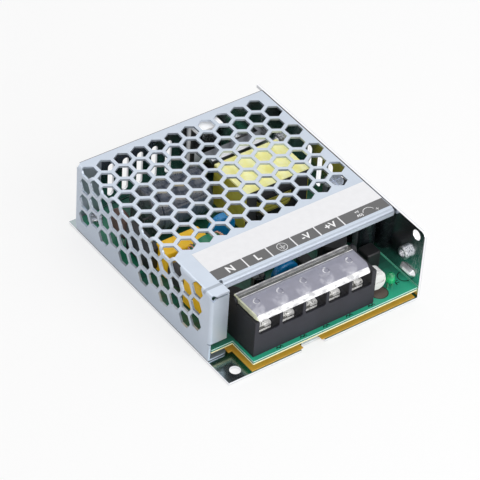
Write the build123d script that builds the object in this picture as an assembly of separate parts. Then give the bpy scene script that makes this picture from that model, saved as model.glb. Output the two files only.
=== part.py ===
from build123d import *
import math
import os

# Open switching power supply, millimetres. X runs left to right along the terminals,
# Y from the terminals to the back, Z up. The origin is the middle of the underside.

# Case: one folded aluminium chassis and one folded, perforated steel cover.
width = 82.0
height = 30.0
base_length = 95.5
ear_length = 3.5
chassis_sheet = 1.0
chassis_bend = 1.6
cover_sheet = 0.8
cover_bend = 1.2
sheet_gap = 0.2

front_y = -(base_length + ear_length) / 2
back_y = front_y + base_length
left_x = -width / 2
right_x = width / 2
floor_z = chassis_sheet
cover_under = height - cover_sheet

# Mounting ears: a round hole at the front, a slot open to the back at the rear.
ear_width = 10.0
ear_hole = 4.1
ear_hole_inset = 5.5
ear_hole_from_front = 4.2
ear_slot_depth = 2.6
wall_ear_height = 8.5
wall_hole_below_top = 3.2
wall_corner_radius = 1.8

# Vents punched in the back wall and the right wall: a cluster of upright slots.
vent_width = 2.6
vent_bottom = 10.0
vent_top = 24.6
vent_pitch = 6.2
back_vent_count = 5
back_vent_x = -26.6
wall_vent_count = 4
wall_vent_y = -2.5

# Pressed details of the chassis: the lug under the board's front edge, the oblong lance and
# the nibs in the right wall that the cover rests on.
lug_x = -5.4
lug_width = 7.2
lug_notch_width = 10.0
lug_notch_depth = 2.2
lance_y = front_y + 6.3
lance_z = 9.5
lance_length = 7.8
lance_height = 3.0
lance_depth = 1.5
lance_draft = 1.0
lance_wall = 0.3
nib_depth = 1.6
nib_width = 3.0
nib_height = 2.8

# Cover: the lip over the terminals, the corner flanges and the feet.
cover_setback = 12.4
lip_setback = 16.4
lip_drop = 2.7
flange_width = 7.3
rear_flange_width = 10.0
flange_bottom = 8.5
rear_flange_bottom = 2.0
foot_width = 8.0
foot_length = 9.0
foot_inset = 0.4
foot_corner = 1.5
rear_foot_inset = 19.0
relief_radius = 1.1

cover_front_y = front_y + cover_setback
lip_y = front_y + lip_setback
tongue_right = left_x + flange_width
rear_foot_y = back_y - rear_foot_inset
nib_y = (lip_y + 2.5, 6.0, back_y - 6.0)
foot_screw_x = left_x + foot_width / 2 + foot_inset
foot_screws = ((foot_screw_x, cover_front_y + foot_length / 2), (foot_screw_x, rear_foot_y))

# Printed label on the cover above the terminals.
label_side = 6.9
label_right_gap = 1.6
label_front_gap = 2.4
label_depth = 15.4
label_thickness = 0.1

label_left = left_x + label_side
label_right = right_x - label_right_gap
label_front = lip_y + label_front_gap
label_back = label_front + label_depth

# Hexagon perforation, punched in the flat sheet: distances run round the left bend. One
# column lies on the bend, and the rows start at the back.
hex_pitch = 7.2
hex_flats = 5.85
hex_bend_offset = 1.4
hex_rear_margin = 6.1
hex_right_margin = 5.0
hex_label_gap = 5.0
hex_front_margin = 8.0
hex_side_steps = 3
bend_facets = 4

# Circuit board and the film under it.
board_thickness = 1.6
board_standoff = 3.2
board_gap = 0.4
board_front_inset = 0.2
board_notch_width = 10.0
film_thickness = 0.25

board_z = floor_z + board_standoff
top_z = board_z + board_thickness
board_left = left_x + cover_sheet + board_gap
board_right = right_x - chassis_sheet - board_gap
board_front = front_y + board_front_inset
board_back = back_y - chassis_sheet - board_gap
notch_x = left_x + board_notch_width
notch_y = cover_front_y

# Screws and pressed nuts.
m3 = 3.0
m3_clearance = 0.2
screw_head = 5.4
screw_head_height = 1.9
nut_diameter = 5.0
nut_height = 2.1
nut_shank = 4.2
boss_diameter = 5.4
boss_thread = 2.6
board_screw_inset = 4.0
side_nut_z = 16.4
base_nut_x = 14.0

side_nut_y = (front_y + 8.3, back_y - 13.2)
base_nut_y = (front_y + 19.5, back_y - 10.0)
board_screws_at = (
    (board_left + board_screw_inset, board_back - board_screw_inset),
    (board_right - board_screw_inset, board_back - board_screw_inset),
)

# Terminal block, five ways, then the trimmer and the lamp. The free width between the
# cover's flange and the right wall is shared out on both sides of that row.
ways = 5
way_pitch = 9.8
way_wall = 1.2
block_end_wall = 1.8
block_inset = 2.0
block_depth = 14.9
block_height = 15.15
block_front_wall = 1.2
block_sill = 9.3
block_floor = 4.2
block_rear_wall = 3.6
window_corner = 0.9
rear_ledge_drop = 1.35
ledge_step = 0.9
left_ear_plate = 0.8
right_ear_plate = 1.8
pivot_inset = 1.8
pivot_rise = 0.25
pivot_radius = 0.8
pivot_clearance = 0.15
pivot_boss = 1.8
pivot_lug = 1.5
pivot_lug_room = 0.4
lug_plate = 1.2
lug_side_room = 0.6

trimmer_radius = 3.9
trimmer_gap = 0.2
trimmer_rise = 1.3
trimmer_front_y = front_y + 6.1
trimmer_depth = 3.8
trimmer_base_width = 5.4
trimmer_leg = 0.7
trimmer_leg_pitch = 2.0
rotor_radius = 3.3
rotor_thickness = 1.0
rotor_gap = 0.2
rotor_shaft = 1.5
rotor_slot = 0.9

led_radius = 1.5
led_rim = 0.25
led_rim_height = 0.7
led_gap = 0.2
led_inset = 5.5
led_rise = 3.0
led_length = 3.6
led_lead = 0.5
led_lead_pitch = 2.0

row_share = 0.37
block_width = ways * way_pitch - way_wall + 2 * block_end_wall
trimmer_width = trimmer_gap + 2 * trimmer_radius
led_width = led_gap + 2 * (led_radius + led_rim)
row_free = board_right - tongue_right - block_width - trimmer_width - led_width
block_left = tongue_right + row_share * row_free
block_right = block_left + block_width
block_front = front_y + block_inset
block_back = block_front + block_depth
block_top = top_z + block_height
pocket_width = way_pitch - way_wall
pocket_floor = top_z + block_floor
pocket_back = block_back - block_rear_wall
pivot_y = block_back - pivot_inset
pivot_z = block_top + pivot_rise
trimmer_x = block_right + trimmer_gap + trimmer_radius
trimmer_z = top_z + trimmer_rise + trimmer_radius
led_x = trimmer_x + trimmer_radius + led_gap + led_radius + led_rim
led_y = front_y + led_inset

# Clear lid over the terminals: a flat top, a bevel in front and round corners.
lid_clearance = 0.2
lid_wall = 1.0
lid_lift = 0.35
lid_height = 1.6
lid_overhang = 0.1
lid_bevel = 1.6
lid_rear_inset = 0.4
lid_front_corner = 1.6
lid_rear_corner = 0.7
dimple_radius = 1.3
dimple_depth = 0.35
dimple_from_rear = 6.8

lid_left = block_left + left_ear_plate + lid_clearance
lid_right = block_right - right_ear_plate - lid_clearance
lid_front = block_front - lid_overhang
lid_rear = block_back - lid_rear_inset
lid_bottom = block_top + lid_lift
lid_top = lid_bottom + lid_height

# Terminal metal: plate with a pin through the board, saddle clamp and screw.
plate_thickness = 0.9
plate_width = 7.4
plate_inset = 0.9
plate_rear_gap = 0.4
pin_width = 1.2
pin_length = 3.0
pin_below_board = 1.4
pin_before_screw = 1.9
pin_slot_gap = 0.4
clamp_width = 8.0
clamp_rear_gap = 0.6
clamp_sheet = 0.9
clamp_height = 3.3
clamp_depth = 6.4
clamp_notch_width = 2.4
clamp_notch_depth = 1.5
terminal_screw_from_rear = 3.4
terminal_shank = 3.2
terminal_shank_gap = 0.3
terminal_shank_drop = 2.2
terminal_head = 6.2
terminal_head_height = 2.4
terminal_head_rise = 5.5

plate_front = block_front + block_front_wall + plate_inset
clamp_front = pocket_back - clamp_rear_gap - clamp_depth
clamp_base = pocket_floor + plate_thickness
terminal_screw_y = pocket_back - terminal_screw_from_rear
terminal_pin_y = terminal_screw_y - pin_before_screw
terminal_head_top = clamp_base + clamp_height + terminal_head_rise


def block_between(x0, x1, y0, y1, z0, z1):
    """Rectangular solid between two corners."""
    middle = Pos((x0 + x1) / 2, (y0 + y1) / 2, (z0 + z1) / 2)
    return middle * Box(x1 - x0, y1 - y0, z1 - z0)


def post(x, y, radius, z0, z1):
    """Upright cylinder between two heights."""
    return Pos(x, y, (z0 + z1) / 2) * Cylinder(radius, z1 - z0)


def rod_x(x0, x1, y, z, radius):
    """Cylinder lying along X."""
    return Pos((x0 + x1) / 2, y, z) * Rot(0, 90, 0) * Cylinder(radius, x1 - x0)


def rod_y(x, y0, y1, z, radius):
    """Cylinder lying along Y."""
    return Pos(x, (y0 + y1) / 2, z) * Rot(90, 0, 0) * Cylinder(radius, y1 - y0)


def edges_at(shape, along, first, second, tolerance=0.02):
    """Edges along one axis, whose other two coordinates have the given values."""
    found = shape.edges().filter_by(getattr(Axis, along))
    for name, value in zip("XYZ".replace(along, ""), (first, second)):
        found = found.filter_by(lambda e, n=name, v=value: abs(getattr(e.center(), n) - v) < tolerance)
    return found


def vent(length):
    """Upright slot with round ends, as a sketch with its long side along local Y."""
    return Rot(0, 0, 90) * SlotOverall(length, vent_width)


def wall_sketch():
    """Right wall seen from the side: local X is Y of the part, local Y is height."""
    ear_y = back_y + ear_length
    outline = Pos((front_y + back_y) / 2, height / 2) * Rectangle(base_length, height)
    outline = fillet(outline.vertices().group_by(Axis.X)[0].sort_by(Axis.Y)[-1], wall_corner_radius)
    ear = Pos((back_y + ear_y) / 2, height - wall_ear_height / 2) * Rectangle(ear_length, wall_ear_height)
    outline += ear
    hole_z = height - wall_hole_below_top
    outline -= Pos(front_y + ear_hole_from_front, hole_z) * Circle(ear_hole / 2)
    slot_end = ear_y - ear_slot_depth
    outline -= Pos(slot_end, hole_z) * Circle(ear_hole / 2)
    outline -= Pos((slot_end + ear_y) / 2, hole_z) * Rectangle(ear_slot_depth, ear_hole)
    slot = vent(vent_top - vent_bottom)
    for i in range(wall_vent_count):
        outline -= Pos(wall_vent_y + i * vent_pitch, (vent_bottom + vent_top) / 2) * slot
    for y in side_nut_y:
        outline -= Pos(y, side_nut_z) * Circle(nut_shank / 2)
    return outline


def pressed_lance(y, z):
    """Oblong bump pressed inward from the right wall, hollow on the outside."""
    inner_face = right_x - chassis_sheet
    length_small = lance_length - 2 * lance_draft
    height_small = lance_height - 2 * lance_draft
    mouth = Plane((inner_face, y, z), x_dir=(0, 1, 0), z_dir=(-1, 0, 0))
    bump = loft([
        mouth * SlotOverall(lance_length, lance_height),
        mouth.offset(lance_depth) * SlotOverall(length_small, height_small),
    ])
    outside = Plane((right_x, y, z), x_dir=(0, 1, 0), z_dir=(-1, 0, 0))
    hollow = loft([
        outside * SlotOverall(lance_length - 2 * lance_wall, lance_height - 2 * lance_wall),
        outside.offset(lance_depth) * SlotOverall(length_small - lance_wall, height_small - lance_wall),
    ])
    return bump, hollow


def chassis():
    """Base, right wall and back wall, folded from one aluminium sheet."""
    ear_y = back_y + ear_length
    hole_x = left_x + ear_hole_inset
    wall_left = left_x + ear_width + sheet_gap
    wall_right = right_x - chassis_sheet - sheet_gap
    relief = chassis_bend + sheet_gap
    outline = Pos(0, (front_y + back_y) / 2) * Rectangle(width, base_length)
    ear_middle = left_x + ear_width / 2
    outline += Pos(ear_middle, (back_y + ear_y) / 2) * Rectangle(ear_width, ear_length)
    outline -= Pos(wall_left - sheet_gap / 2, back_y - relief / 2) * Rectangle(sheet_gap, relief)
    outline -= Pos(right_x - relief / 2, back_y - relief / 2) * Rectangle(relief, relief)
    outline -= Pos(hole_x, front_y + ear_hole_from_front) * Circle(ear_hole / 2)
    slot_end = ear_y - ear_slot_depth
    outline -= Pos(hole_x, slot_end) * Circle(ear_hole / 2)
    outline -= Pos(hole_x, (slot_end + ear_y) / 2) * Rectangle(ear_hole, ear_slot_depth)
    outline -= Pos(lug_x, front_y + lug_notch_depth / 2) * Rectangle(lug_notch_width, lug_notch_depth)
    for y in base_nut_y:
        outline -= Pos(base_nut_x, y) * Circle(nut_shank / 2)
    base = extrude(outline, chassis_sheet)

    back_top = cover_under - sheet_gap / 2
    back = Pos((wall_left + wall_right) / 2, back_top / 2) * Rectangle(wall_right - wall_left, back_top)
    back -= Pos(right_x - relief / 2, 0) * Rectangle(relief, 2 * relief)
    slot = vent(vent_top - vent_bottom)
    for i in range(back_vent_count):
        back -= Pos(back_vent_x + i * vent_pitch, (vent_bottom + vent_top) / 2) * slot
    back -= Pos(transistor_x, transistor_screw_z) * Circle(m3 / 2 + m3_clearance)
    back_plane = Plane((0, back_y, 0), x_dir=(1, 0, 0), z_dir=(0, -1, 0))
    body = base + extrude(back_plane * back, chassis_sheet)
    body = fillet(edges_at(body, "X", back_y, 0), chassis_bend)

    side = wall_sketch() - Pos(back_y - relief / 2, 0) * Rectangle(relief, 2 * relief)
    side_plane = Plane((right_x - chassis_sheet, 0, 0), x_dir=(0, 1, 0), z_dir=(1, 0, 0))
    body += extrude(side_plane * side, chassis_sheet)
    body = fillet(edges_at(body, "Y", right_x, 0), chassis_bend)

    body += block_between(lug_x - lug_width / 2, lug_x + lug_width / 2, front_y + lug_notch_depth,
                          front_y + lug_notch_depth + chassis_sheet, 0, board_z)
    for x, y in board_screws_at:
        body += post(x, y, boss_diameter / 2, floor_z - 0.2, board_z)
        body -= post(x, y, boss_thread / 2 + m3_clearance, -1, board_z + 1)
    for x, y in foot_screws:
        body -= post(x, y, m3 / 2 + m3_clearance, -1, floor_z + 1)
        body -= Pos(x, y, chassis_sheet / 2) * Cone(screw_head / 2 + m3_clearance, m3 / 2 + m3_clearance,
                                                    chassis_sheet)
    inner_face = right_x - chassis_sheet
    nib_top = cover_under - sheet_gap / 2
    for y in nib_y:
        nib = Polyline((inner_face + 0.2, nib_top - nib_height), (inner_face + 0.2, nib_top),
                       (inner_face - nib_depth, nib_top), (inner_face, nib_top - nib_height), close=True)
        nib_plane = Plane((0, y + nib_width / 2, 0), x_dir=(1, 0, 0), z_dir=(0, -1, 0))
        body += extrude(nib_plane * make_face(nib), nib_width)
    bump, hollow = pressed_lance(lance_y, lance_z)
    return body + bump - hollow


def hex_half_width(distance):
    """Half the width of a hexagonal hole, along Y, at a distance from its middle."""
    return hex_flats / math.sqrt(3) - abs(distance) / math.sqrt(3)


def strip_outline(centre, start, end):
    """Part of a hexagon between two distances along the sheet, as (distance, y) points."""
    stations = [start] + ([centre] if start < centre < end else []) + [end]
    upper = [(s, hex_half_width(s - centre)) for s in stations]
    lower = [(s, -y) for s, y in reversed(upper)]
    return upper + lower


def bend_section(angle, half, y):
    """Radial rectangle through the bend, where the punch passes it at one angle."""
    centre_x = left_x + cover_bend
    centre_z = height - cover_bend
    out_x, out_z = -math.sin(angle), math.cos(angle)
    near, far = 0.1, cover_bend + 0.6
    corners = [
        (centre_x + near * out_x, y - half, centre_z + near * out_z),
        (centre_x + far * out_x, y - half, centre_z + far * out_z),
        (centre_x + far * out_x, y + half, centre_z + far * out_z),
        (centre_x + near * out_x, y + half, centre_z + near * out_z),
    ]
    return make_face(Polyline(*corners, close=True))


def bent_hole(centre, y):
    """Cutters for one hexagon that runs round the bend between top and side."""
    bend_start = -left_x - cover_bend
    bend_length = math.pi / 2 * cover_bend
    bend_end = bend_start + bend_length
    first = centre - hex_flats / 2
    last = centre + hex_flats / 2
    cutters = []
    if first < bend_start:
        points = [(-s, y + v) for s, v in strip_outline(centre, first, bend_start)]
        face = Plane.XY.offset(cover_under - 1) * make_face(Polyline(*points, close=True))
        cutters.append(extrude(face, cover_sheet + 2))
    if last > bend_end:
        drop = height - cover_bend + bend_end
        points = [(y + v, drop - s) for s, v in strip_outline(centre, bend_end, last)]
        side = Plane((left_x - 1, 0, 0), x_dir=(0, 1, 0), z_dir=(1, 0, 0))
        cutters.append(extrude(side * make_face(Polyline(*points, close=True)), cover_sheet + 2))
    arc_from = max(first, bend_start)
    arc_to = min(last, bend_end)
    for i in range(bend_facets):
        ends = []
        for k in (i, i + 1):
            s = arc_from + (arc_to - arc_from) * k / bend_facets
            ends.append(bend_section((s - bend_start) / cover_bend, hex_half_width(s - centre), y))
        cutters.append(loft(ends, ruled=True))
    return cutters


def perforation():
    """Cutters for the whole pattern: top field, side field and the holes round the bend."""
    row_step = hex_pitch * math.sqrt(3) / 2
    bend_end = -left_x - cover_bend + math.pi / 2 * cover_bend
    drop = height - cover_bend + bend_end
    radius = hex_flats / math.sqrt(3)
    first_row = back_y - hex_rear_margin
    top_rows = 1 + int((first_row - label_back - hex_label_gap) / row_step)
    side_rows = 1 + int((first_row - cover_front_y - hex_front_margin) / row_step)
    top_hex = RegularPolygon(radius, 6, rotation=30)
    side_hex = RegularPolygon(radius, 6)
    top = Sketch()
    side = Sketch()
    cutters = []
    for row in range(side_rows):
        y = first_row - row * row_step
        on_bend = row % 2 == 0
        column = -left_x - hex_bend_offset - (0 if on_bend else hex_pitch / 2)
        if row < top_rows:
            last = int((right_x - hex_right_margin + column) / hex_pitch + 0.01)
            for i in range(1 if on_bend else 0, last + 1):
                top += Pos(i * hex_pitch - column, y) * top_hex
            if on_bend:
                cutters += bent_hole(column, y)
        for i in range(1, hex_side_steps + 1):
            distance = column + i * hex_pitch
            if distance - hex_flats / 2 > bend_end:
                side += Pos(y, drop - distance) * side_hex
            else:
                cutters += bent_hole(distance, y)
    top_plane = Plane.XY.offset(cover_under - 1)
    side_plane = Plane((left_x - 1, 0, 0), x_dir=(0, 1, 0), z_dir=(1, 0, 0))
    cutters.append(extrude(top_plane * top, cover_sheet + 2))
    cutters.append(extrude(side_plane * side, cover_sheet + 2))
    return cutters


def folded_corner(x1, front, back, z0, z1, outer_y):
    """Piece of side wall with a flange bent off it across the corner."""
    side = block_between(left_x, left_x + cover_sheet, front, back, z0, z1)
    y0, y1 = (front, front + cover_sheet) if outer_y == front else (back - cover_sheet, back)
    body = side + block_between(left_x, x1, y0, y1, z0, z1)
    body = fillet(edges_at(body, "Z", left_x, outer_y), cover_bend)
    inner_y = y1 if outer_y == front else y0
    return fillet(edges_at(body, "Z", left_x + cover_sheet, inner_y), cover_bend - cover_sheet)


def cover():
    """Perforated cover: top, left side, front lip, corner flanges and feet, one sheet."""
    top_right = right_x - chassis_sheet - sheet_gap
    side_in = left_x + cover_sheet
    root = cover_bend + sheet_gap
    shoulder_z = height - root
    top = block_between(left_x, top_right, lip_y + root, back_y, cover_under, height)
    top += block_between(left_x, tongue_right, cover_front_y, lip_y + root, cover_under, height)
    top += block_between(left_x, side_in, cover_front_y, back_y, shoulder_z, height)
    body = fillet(edges_at(top, "Y", left_x, height), cover_bend)
    body = fillet(edges_at(body, "Y", side_in, cover_under), cover_bend - cover_sheet)
    body += block_between(left_x, side_in, cover_front_y + root, back_y - root, floor_z, shoulder_z)
    body += block_between(left_x, side_in, cover_front_y, back_y - root, floor_z, flange_bottom - sheet_gap)
    body += folded_corner(tongue_right, cover_front_y, cover_front_y + root, flange_bottom, shoulder_z,
                          cover_front_y)
    body += folded_corner(left_x + rear_flange_width, back_y - root, back_y, rear_flange_bottom, shoulder_z,
                          back_y)

    lip_left = tongue_right + 2 * sheet_gap
    lip_right = top_right - 2 * sheet_gap
    lip = block_between(lip_left, lip_right, lip_y, lip_y + root, cover_under, height)
    lip += block_between(lip_left, lip_right, lip_y, lip_y + cover_sheet, height - lip_drop, height)
    body += fillet(edges_at(lip, "X", lip_y, height), cover_bend)

    for y0 in (cover_front_y, rear_foot_y - foot_length / 2):
        foot = block_between(left_x + cover_sheet / 2, left_x + foot_width, y0, y0 + foot_length,
                             floor_z, floor_z + cover_sheet)
        body += fillet(foot.edges().filter_by(Axis.Z).group_by(Axis.X)[-1], foot_corner)
    for x, y in foot_screws:
        body -= post(x, y, boss_thread / 2, floor_z - 0.5, floor_z + cover_sheet + 0.5)
    for y in (cover_front_y, back_y):
        body -= Plane((left_x, y, height), z_dir=(-1, 0, 1)) * Cylinder(relief_radius, 4 * cover_bend)
    body -= post(tongue_right + sheet_gap, lip_y + root, relief_radius * 0.6, cover_under - 1, height + 1)
    return body.cut(*perforation())


def terminal_label():
    """Printed film on the cover above the terminals."""
    return block_between(label_left, label_right, label_front, label_back, height, height + label_thickness)


def board_outline(inset):
    """Outline shared by the board and the film: a rectangle with its front left corner cut."""
    right = board_right - inset
    left = board_left + inset
    front = board_front + inset
    back = board_back - inset
    points = [(notch_x, front), (right, front), (right, back), (left, back), (left, notch_y), (notch_x, notch_y)]
    return make_face(Polyline(*points, close=True))


def insulating_film():
    """Amber film between the base and the solder side of the board."""
    outline = board_outline(0.3)
    for x, y in board_screws_at:
        outline -= Pos(x, y) * Circle(boss_diameter / 2 + 0.3)
    for y in base_nut_y:
        outline -= Pos(base_nut_x, y) * Circle(nut_diameter / 2 + 0.3)
    for x, y in foot_screws:
        cut = foot_length + 1.0
        outline -= Pos(left_x + foot_width / 2, y) * Rectangle(foot_width + 1.0, cut)
    lug_cut = lug_notch_depth + chassis_sheet + 0.6
    outline -= Pos(lug_x, front_y + lug_cut / 2) * Rectangle(lug_width + 0.8, lug_cut)
    return extrude(Plane.XY.offset(floor_z) * outline, film_thickness)


def way_x(i):
    """Middle of a terminal way."""
    return block_left + block_end_wall + pocket_width / 2 + i * way_pitch


def circuit_board():
    """Board with its screw holes and the slots for the terminal and transformer pins."""
    outline = board_outline(0)
    for x, y in board_screws_at:
        outline -= Pos(x, y) * Circle(m3 / 2 + m3_clearance)
    pin_slot = Rectangle(pin_length + pin_slot_gap, pin_width + pin_slot_gap)
    for i in range(ways):
        outline -= Pos(way_x(i), terminal_pin_y) * pin_slot
    for x, y in transformer_pin_places():
        outline -= Pos(x, y) * Rectangle(coil_pin + 0.4, coil_pin + 0.4)
    return extrude(Plane.XY.offset(board_z) * outline, board_thickness)


def terminal_block():
    """Moulded block: five pockets open to the front and top, and two hinge ears."""
    body = block_between(block_left, block_right, block_front, block_back, top_z, block_top)
    ledge_z = block_top - rear_ledge_drop
    body -= block_between(block_left - 1, block_right + 1, pocket_back + ledge_step, block_back + 1,
                          ledge_z, block_top + 1)
    inner_front = block_front + block_front_wall
    for i in range(ways):
        x0 = way_x(i) - pocket_width / 2
        x1 = way_x(i) + pocket_width / 2
        body -= block_between(x0, x1, inner_front, pocket_back, pocket_floor, block_top + 1)
        window_tall = 2 * (block_height - block_sill)
        window = Plane((way_x(i), inner_front + 0.1, block_top), x_dir=(1, 0, 0), z_dir=(0, -1, 0))
        body -= extrude(window * RectangleRounded(pocket_width, window_tall, window_corner),
                        block_front_wall + 1)
        body -= Pos(way_x(i), terminal_pin_y, top_z + block_floor / 2) * Box(
            pin_length + pin_slot_gap, pin_width + pin_slot_gap, block_floor + 1)
        body -= post(way_x(i), terminal_screw_y, terminal_shank / 2 + terminal_shank_gap,
                     pocket_floor - terminal_shank_drop - pin_slot_gap, pocket_floor + 1)
    for x0, x1 in ((block_left, block_left + left_ear_plate), (block_right - right_ear_plate, block_right)):
        ear = block_between(x0, x1, pivot_y - pivot_boss, pivot_y + pivot_boss, ledge_z - 0.5, pivot_z)
        ear += rod_x(x0, x1, pivot_y, pivot_z, pivot_boss)
        body += ear
    hole = pivot_radius + pivot_clearance
    body -= rod_x(block_left + 0.2, block_right - 0.2, pivot_y, pivot_z, hole)
    lug = pivot_lug + pivot_lug_room
    room = lug_plate + lug_side_room
    left = block_left + left_ear_plate
    right = block_right - right_ear_plate
    for x0, x1 in ((left, left + room), (right - room, right)):
        body -= block_between(x0, x1, pivot_y - lug, block_back + 1, pivot_z - lug, block_top + 3)
    return body


def lid_form(inset):
    """Outer form of the lid, or the space inside it when it is inset by the wall."""
    slope = lid_bevel / lid_height
    shift = inset * math.hypot(1, slope)
    bottom = lid_bottom - inset
    top = lid_top - inset
    front_low = lid_front - inset * slope + shift
    front_high = lid_front + (lid_height - inset) * slope + shift
    rear = lid_rear - inset
    x0 = lid_left + inset
    x1 = lid_right - inset
    outline = Polyline((rear, bottom), (rear, top), (front_high, top), (front_low, bottom), close=True)
    side = Plane((x0, 0, 0), x_dir=(0, 1, 0), z_dir=(1, 0, 0))
    body = extrude(side * make_face(outline), x1 - x0)
    ends = [e for e in body.edges() if min(abs(e.center().X - x0), abs(e.center().X - x1)) < 0.01]
    rising = [e for e in ends if abs(e.tangent_at(0.5).Z) > 0.1]
    front = [e for e in rising if e.center().Y < rear - 1]
    body = fillet(front, lid_front_corner - inset / 2)
    uprights = body.edges().filter_by(Axis.Z).group_by(Axis.Y)[-1]
    return fillet(uprights, lid_rear_corner - inset / 2)


def terminal_lid():
    """Clear lid, a thin tray upside down, with a pin at each end of its rear edge."""
    body = lid_form(0) - lid_form(lid_wall)
    middle = (lid_left + lid_right) / 2
    for i in range(ways):
        x = middle + (i - (ways - 1) / 2) * way_pitch
        body -= post(x, lid_rear - dimple_from_rear, dimple_radius, lid_top - dimple_depth, lid_top + 1)
    for inner, outer, plate in ((lid_left, -1, left_ear_plate), (lid_right, 1, right_ear_plate)):
        lug_end = inner - outer * lug_plate
        pin_end = inner + outer * plate
        body += rod_x(min(inner, lug_end), max(inner, lug_end), pivot_y, pivot_z, pivot_lug)
        body += rod_x(min(pin_end, lug_end), max(pin_end, lug_end), pivot_y, pivot_z, pivot_radius)
    return body


def terminal_plates():
    """Nickel plated plates on the pocket floors, each with a pin through the board."""
    plates = []
    for i in range(ways):
        x = way_x(i)
        plate = block_between(x - plate_width / 2, x + plate_width / 2, plate_front,
                              pocket_back - plate_rear_gap, pocket_floor, clamp_base)
        plate += block_between(x - pin_length / 2, x + pin_length / 2, terminal_pin_y - pin_width / 2,
                               terminal_pin_y + pin_width / 2, board_z - pin_below_board, pocket_floor + 0.1)
        plate -= post(x, terminal_screw_y, terminal_shank / 2 + 0.1,
                      pocket_floor - terminal_shank_drop - pin_slot_gap, pocket_floor + 2)
        plates.append(plate)
    return Compound(children=plates)


def terminal_clamps():
    """Saddle clamps: lips bent down at the front and the rear, a notch in the front one."""
    clamps = []
    z0 = clamp_base
    z1 = z0 + clamp_height
    for i in range(ways):
        x = way_x(i)
        outer = block_between(x - clamp_width / 2, x + clamp_width / 2, clamp_front,
                              clamp_front + clamp_depth, z0, z1)
        outer = fillet(outer.edges().filter_by(Axis.X).group_by(Axis.Z)[-1], 0.8)
        inner = block_between(x - clamp_width, x + clamp_width, clamp_front + clamp_sheet,
                              clamp_front + clamp_depth - clamp_sheet, z0 - 1, z1 - clamp_sheet)
        clamp = outer - inner - post(x, terminal_screw_y, terminal_shank / 2 + terminal_shank_gap, z0, z1 + 1)
        half = clamp_notch_width / 2
        clamp -= block_between(x - half, x + half, clamp_front - 1, clamp_front + clamp_sheet + 0.1,
                               z1 - clamp_notch_depth, z1 + 1)
        clamps.append(clamp)
    return Compound(children=clamps)


def phillips(x, y, z, size, depth):
    """Cross recess for a screw head, cut down from a height."""
    arm = size * 0.24
    cross = Pos(x, y, z - depth / 2) * Box(size, arm, depth + 0.01)
    cross += Pos(x, y, z - depth / 2) * Box(arm, size, depth + 0.01)
    return cross


def terminal_screws():
    """Pan head screws standing in the plates."""
    screws = []
    for i in range(ways):
        x = way_x(i)
        head = post(x, terminal_screw_y, terminal_head / 2, terminal_head_top - terminal_head_height,
                    terminal_head_top)
        head = fillet(head.edges().sort_by(Axis.Z)[-1], 0.8)
        screw = head + post(x, terminal_screw_y, terminal_shank / 2, pocket_floor - terminal_shank_drop,
                            terminal_head_top - terminal_head_height)
        screws.append(screw - phillips(x, terminal_screw_y, terminal_head_top, terminal_head * 0.55, 1.3))
    return Compound(children=screws)


def trimmer_body():
    """White round housing of the trimmer on three legs, with a bore for the rotor."""
    face = Plane((0, trimmer_front_y, 0), x_dir=(1, 0, 0), z_dir=(0, -1, 0))
    bottom = trimmer_z - trimmer_radius
    outline = Pos(trimmer_x, trimmer_z) * Circle(trimmer_radius)
    outline += Pos(trimmer_x, bottom + trimmer_radius / 4) * Rectangle(trimmer_base_width, trimmer_radius / 2)
    body = extrude(face * outline, -trimmer_depth)
    bore = rotor_shaft + 0.15
    body -= rod_y(trimmer_x, trimmer_front_y - 1, trimmer_front_y + trimmer_depth * 0.7, trimmer_z, bore)
    y = trimmer_front_y + trimmer_depth / 2
    half = trimmer_leg / 2
    for i in (-1, 0, 1):
        x = trimmer_x + i * trimmer_leg_pitch
        body += block_between(x - half, x + half, y - half, y + half, top_z, bottom + 0.2)
    return body


def trimmer_rotor():
    """Slotted white dial that sets the output voltage."""
    back = trimmer_front_y - rotor_gap
    front = back - rotor_thickness
    body = rod_y(trimmer_x, front, back, trimmer_z, rotor_radius)
    body = fillet(body.edges().sort_by(Axis.Y)[0], 0.3)
    body += rod_y(trimmer_x, back, trimmer_front_y + trimmer_depth * 0.6, trimmer_z, rotor_shaft)
    slot = rotor_radius * 0.75
    return body - block_between(trimmer_x - slot, trimmer_x + slot, front - 1, front + 0.6,
                                trimmer_z - rotor_slot / 2, trimmer_z + rotor_slot / 2)


def indicator_led():
    """Green lamp with a round nose and a rim, standing on its two leads."""
    z0 = top_z + led_rise
    z1 = z0 + led_length - led_radius
    body = post(led_x, led_y, led_radius, z0, z1) + Pos(led_x, led_y, z1) * Sphere(led_radius)
    body += post(led_x, led_y, led_radius + led_rim, z0, z0 + led_rim_height)
    half = led_lead / 2
    for side in (-1, 1):
        x = led_x + side * led_lead_pitch / 2
        body += block_between(x - half, x + half, led_y - half, led_y + half, top_z, z0 + 0.1)
    return body


# Transformer between the mains side and the output side.
core_left = 3.7
core_width = 27.0
core_front = 3.6
core_depth = 21.6
core_top = 25.6
core_seat = 2.6
core_leg = 4.6
core_yoke = 4.4
core_thickness = 19.6
core_post = 4.2
core_joint = 0.2
tape_thickness = 0.25
coil_pin = 0.8
coil_pins = 5
coil_pitch = 4.5
coil_inset = 0.4
bobbin_rail = 4.2
bobbin_rail_margin = 1.8
bobbin_pin_depth = 1.6
bobbin_flange = 1.0
bobbin_tube = 1.1
bobbin_inset = 0.2
coil_clearance = 0.3
coil_gap = 0.1

core_right = core_left + core_width
core_back = core_front + core_depth
core_middle_x = core_left + core_width / 2
core_middle_y = core_front + core_depth / 2
core_bottom = top_z + core_seat

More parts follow.
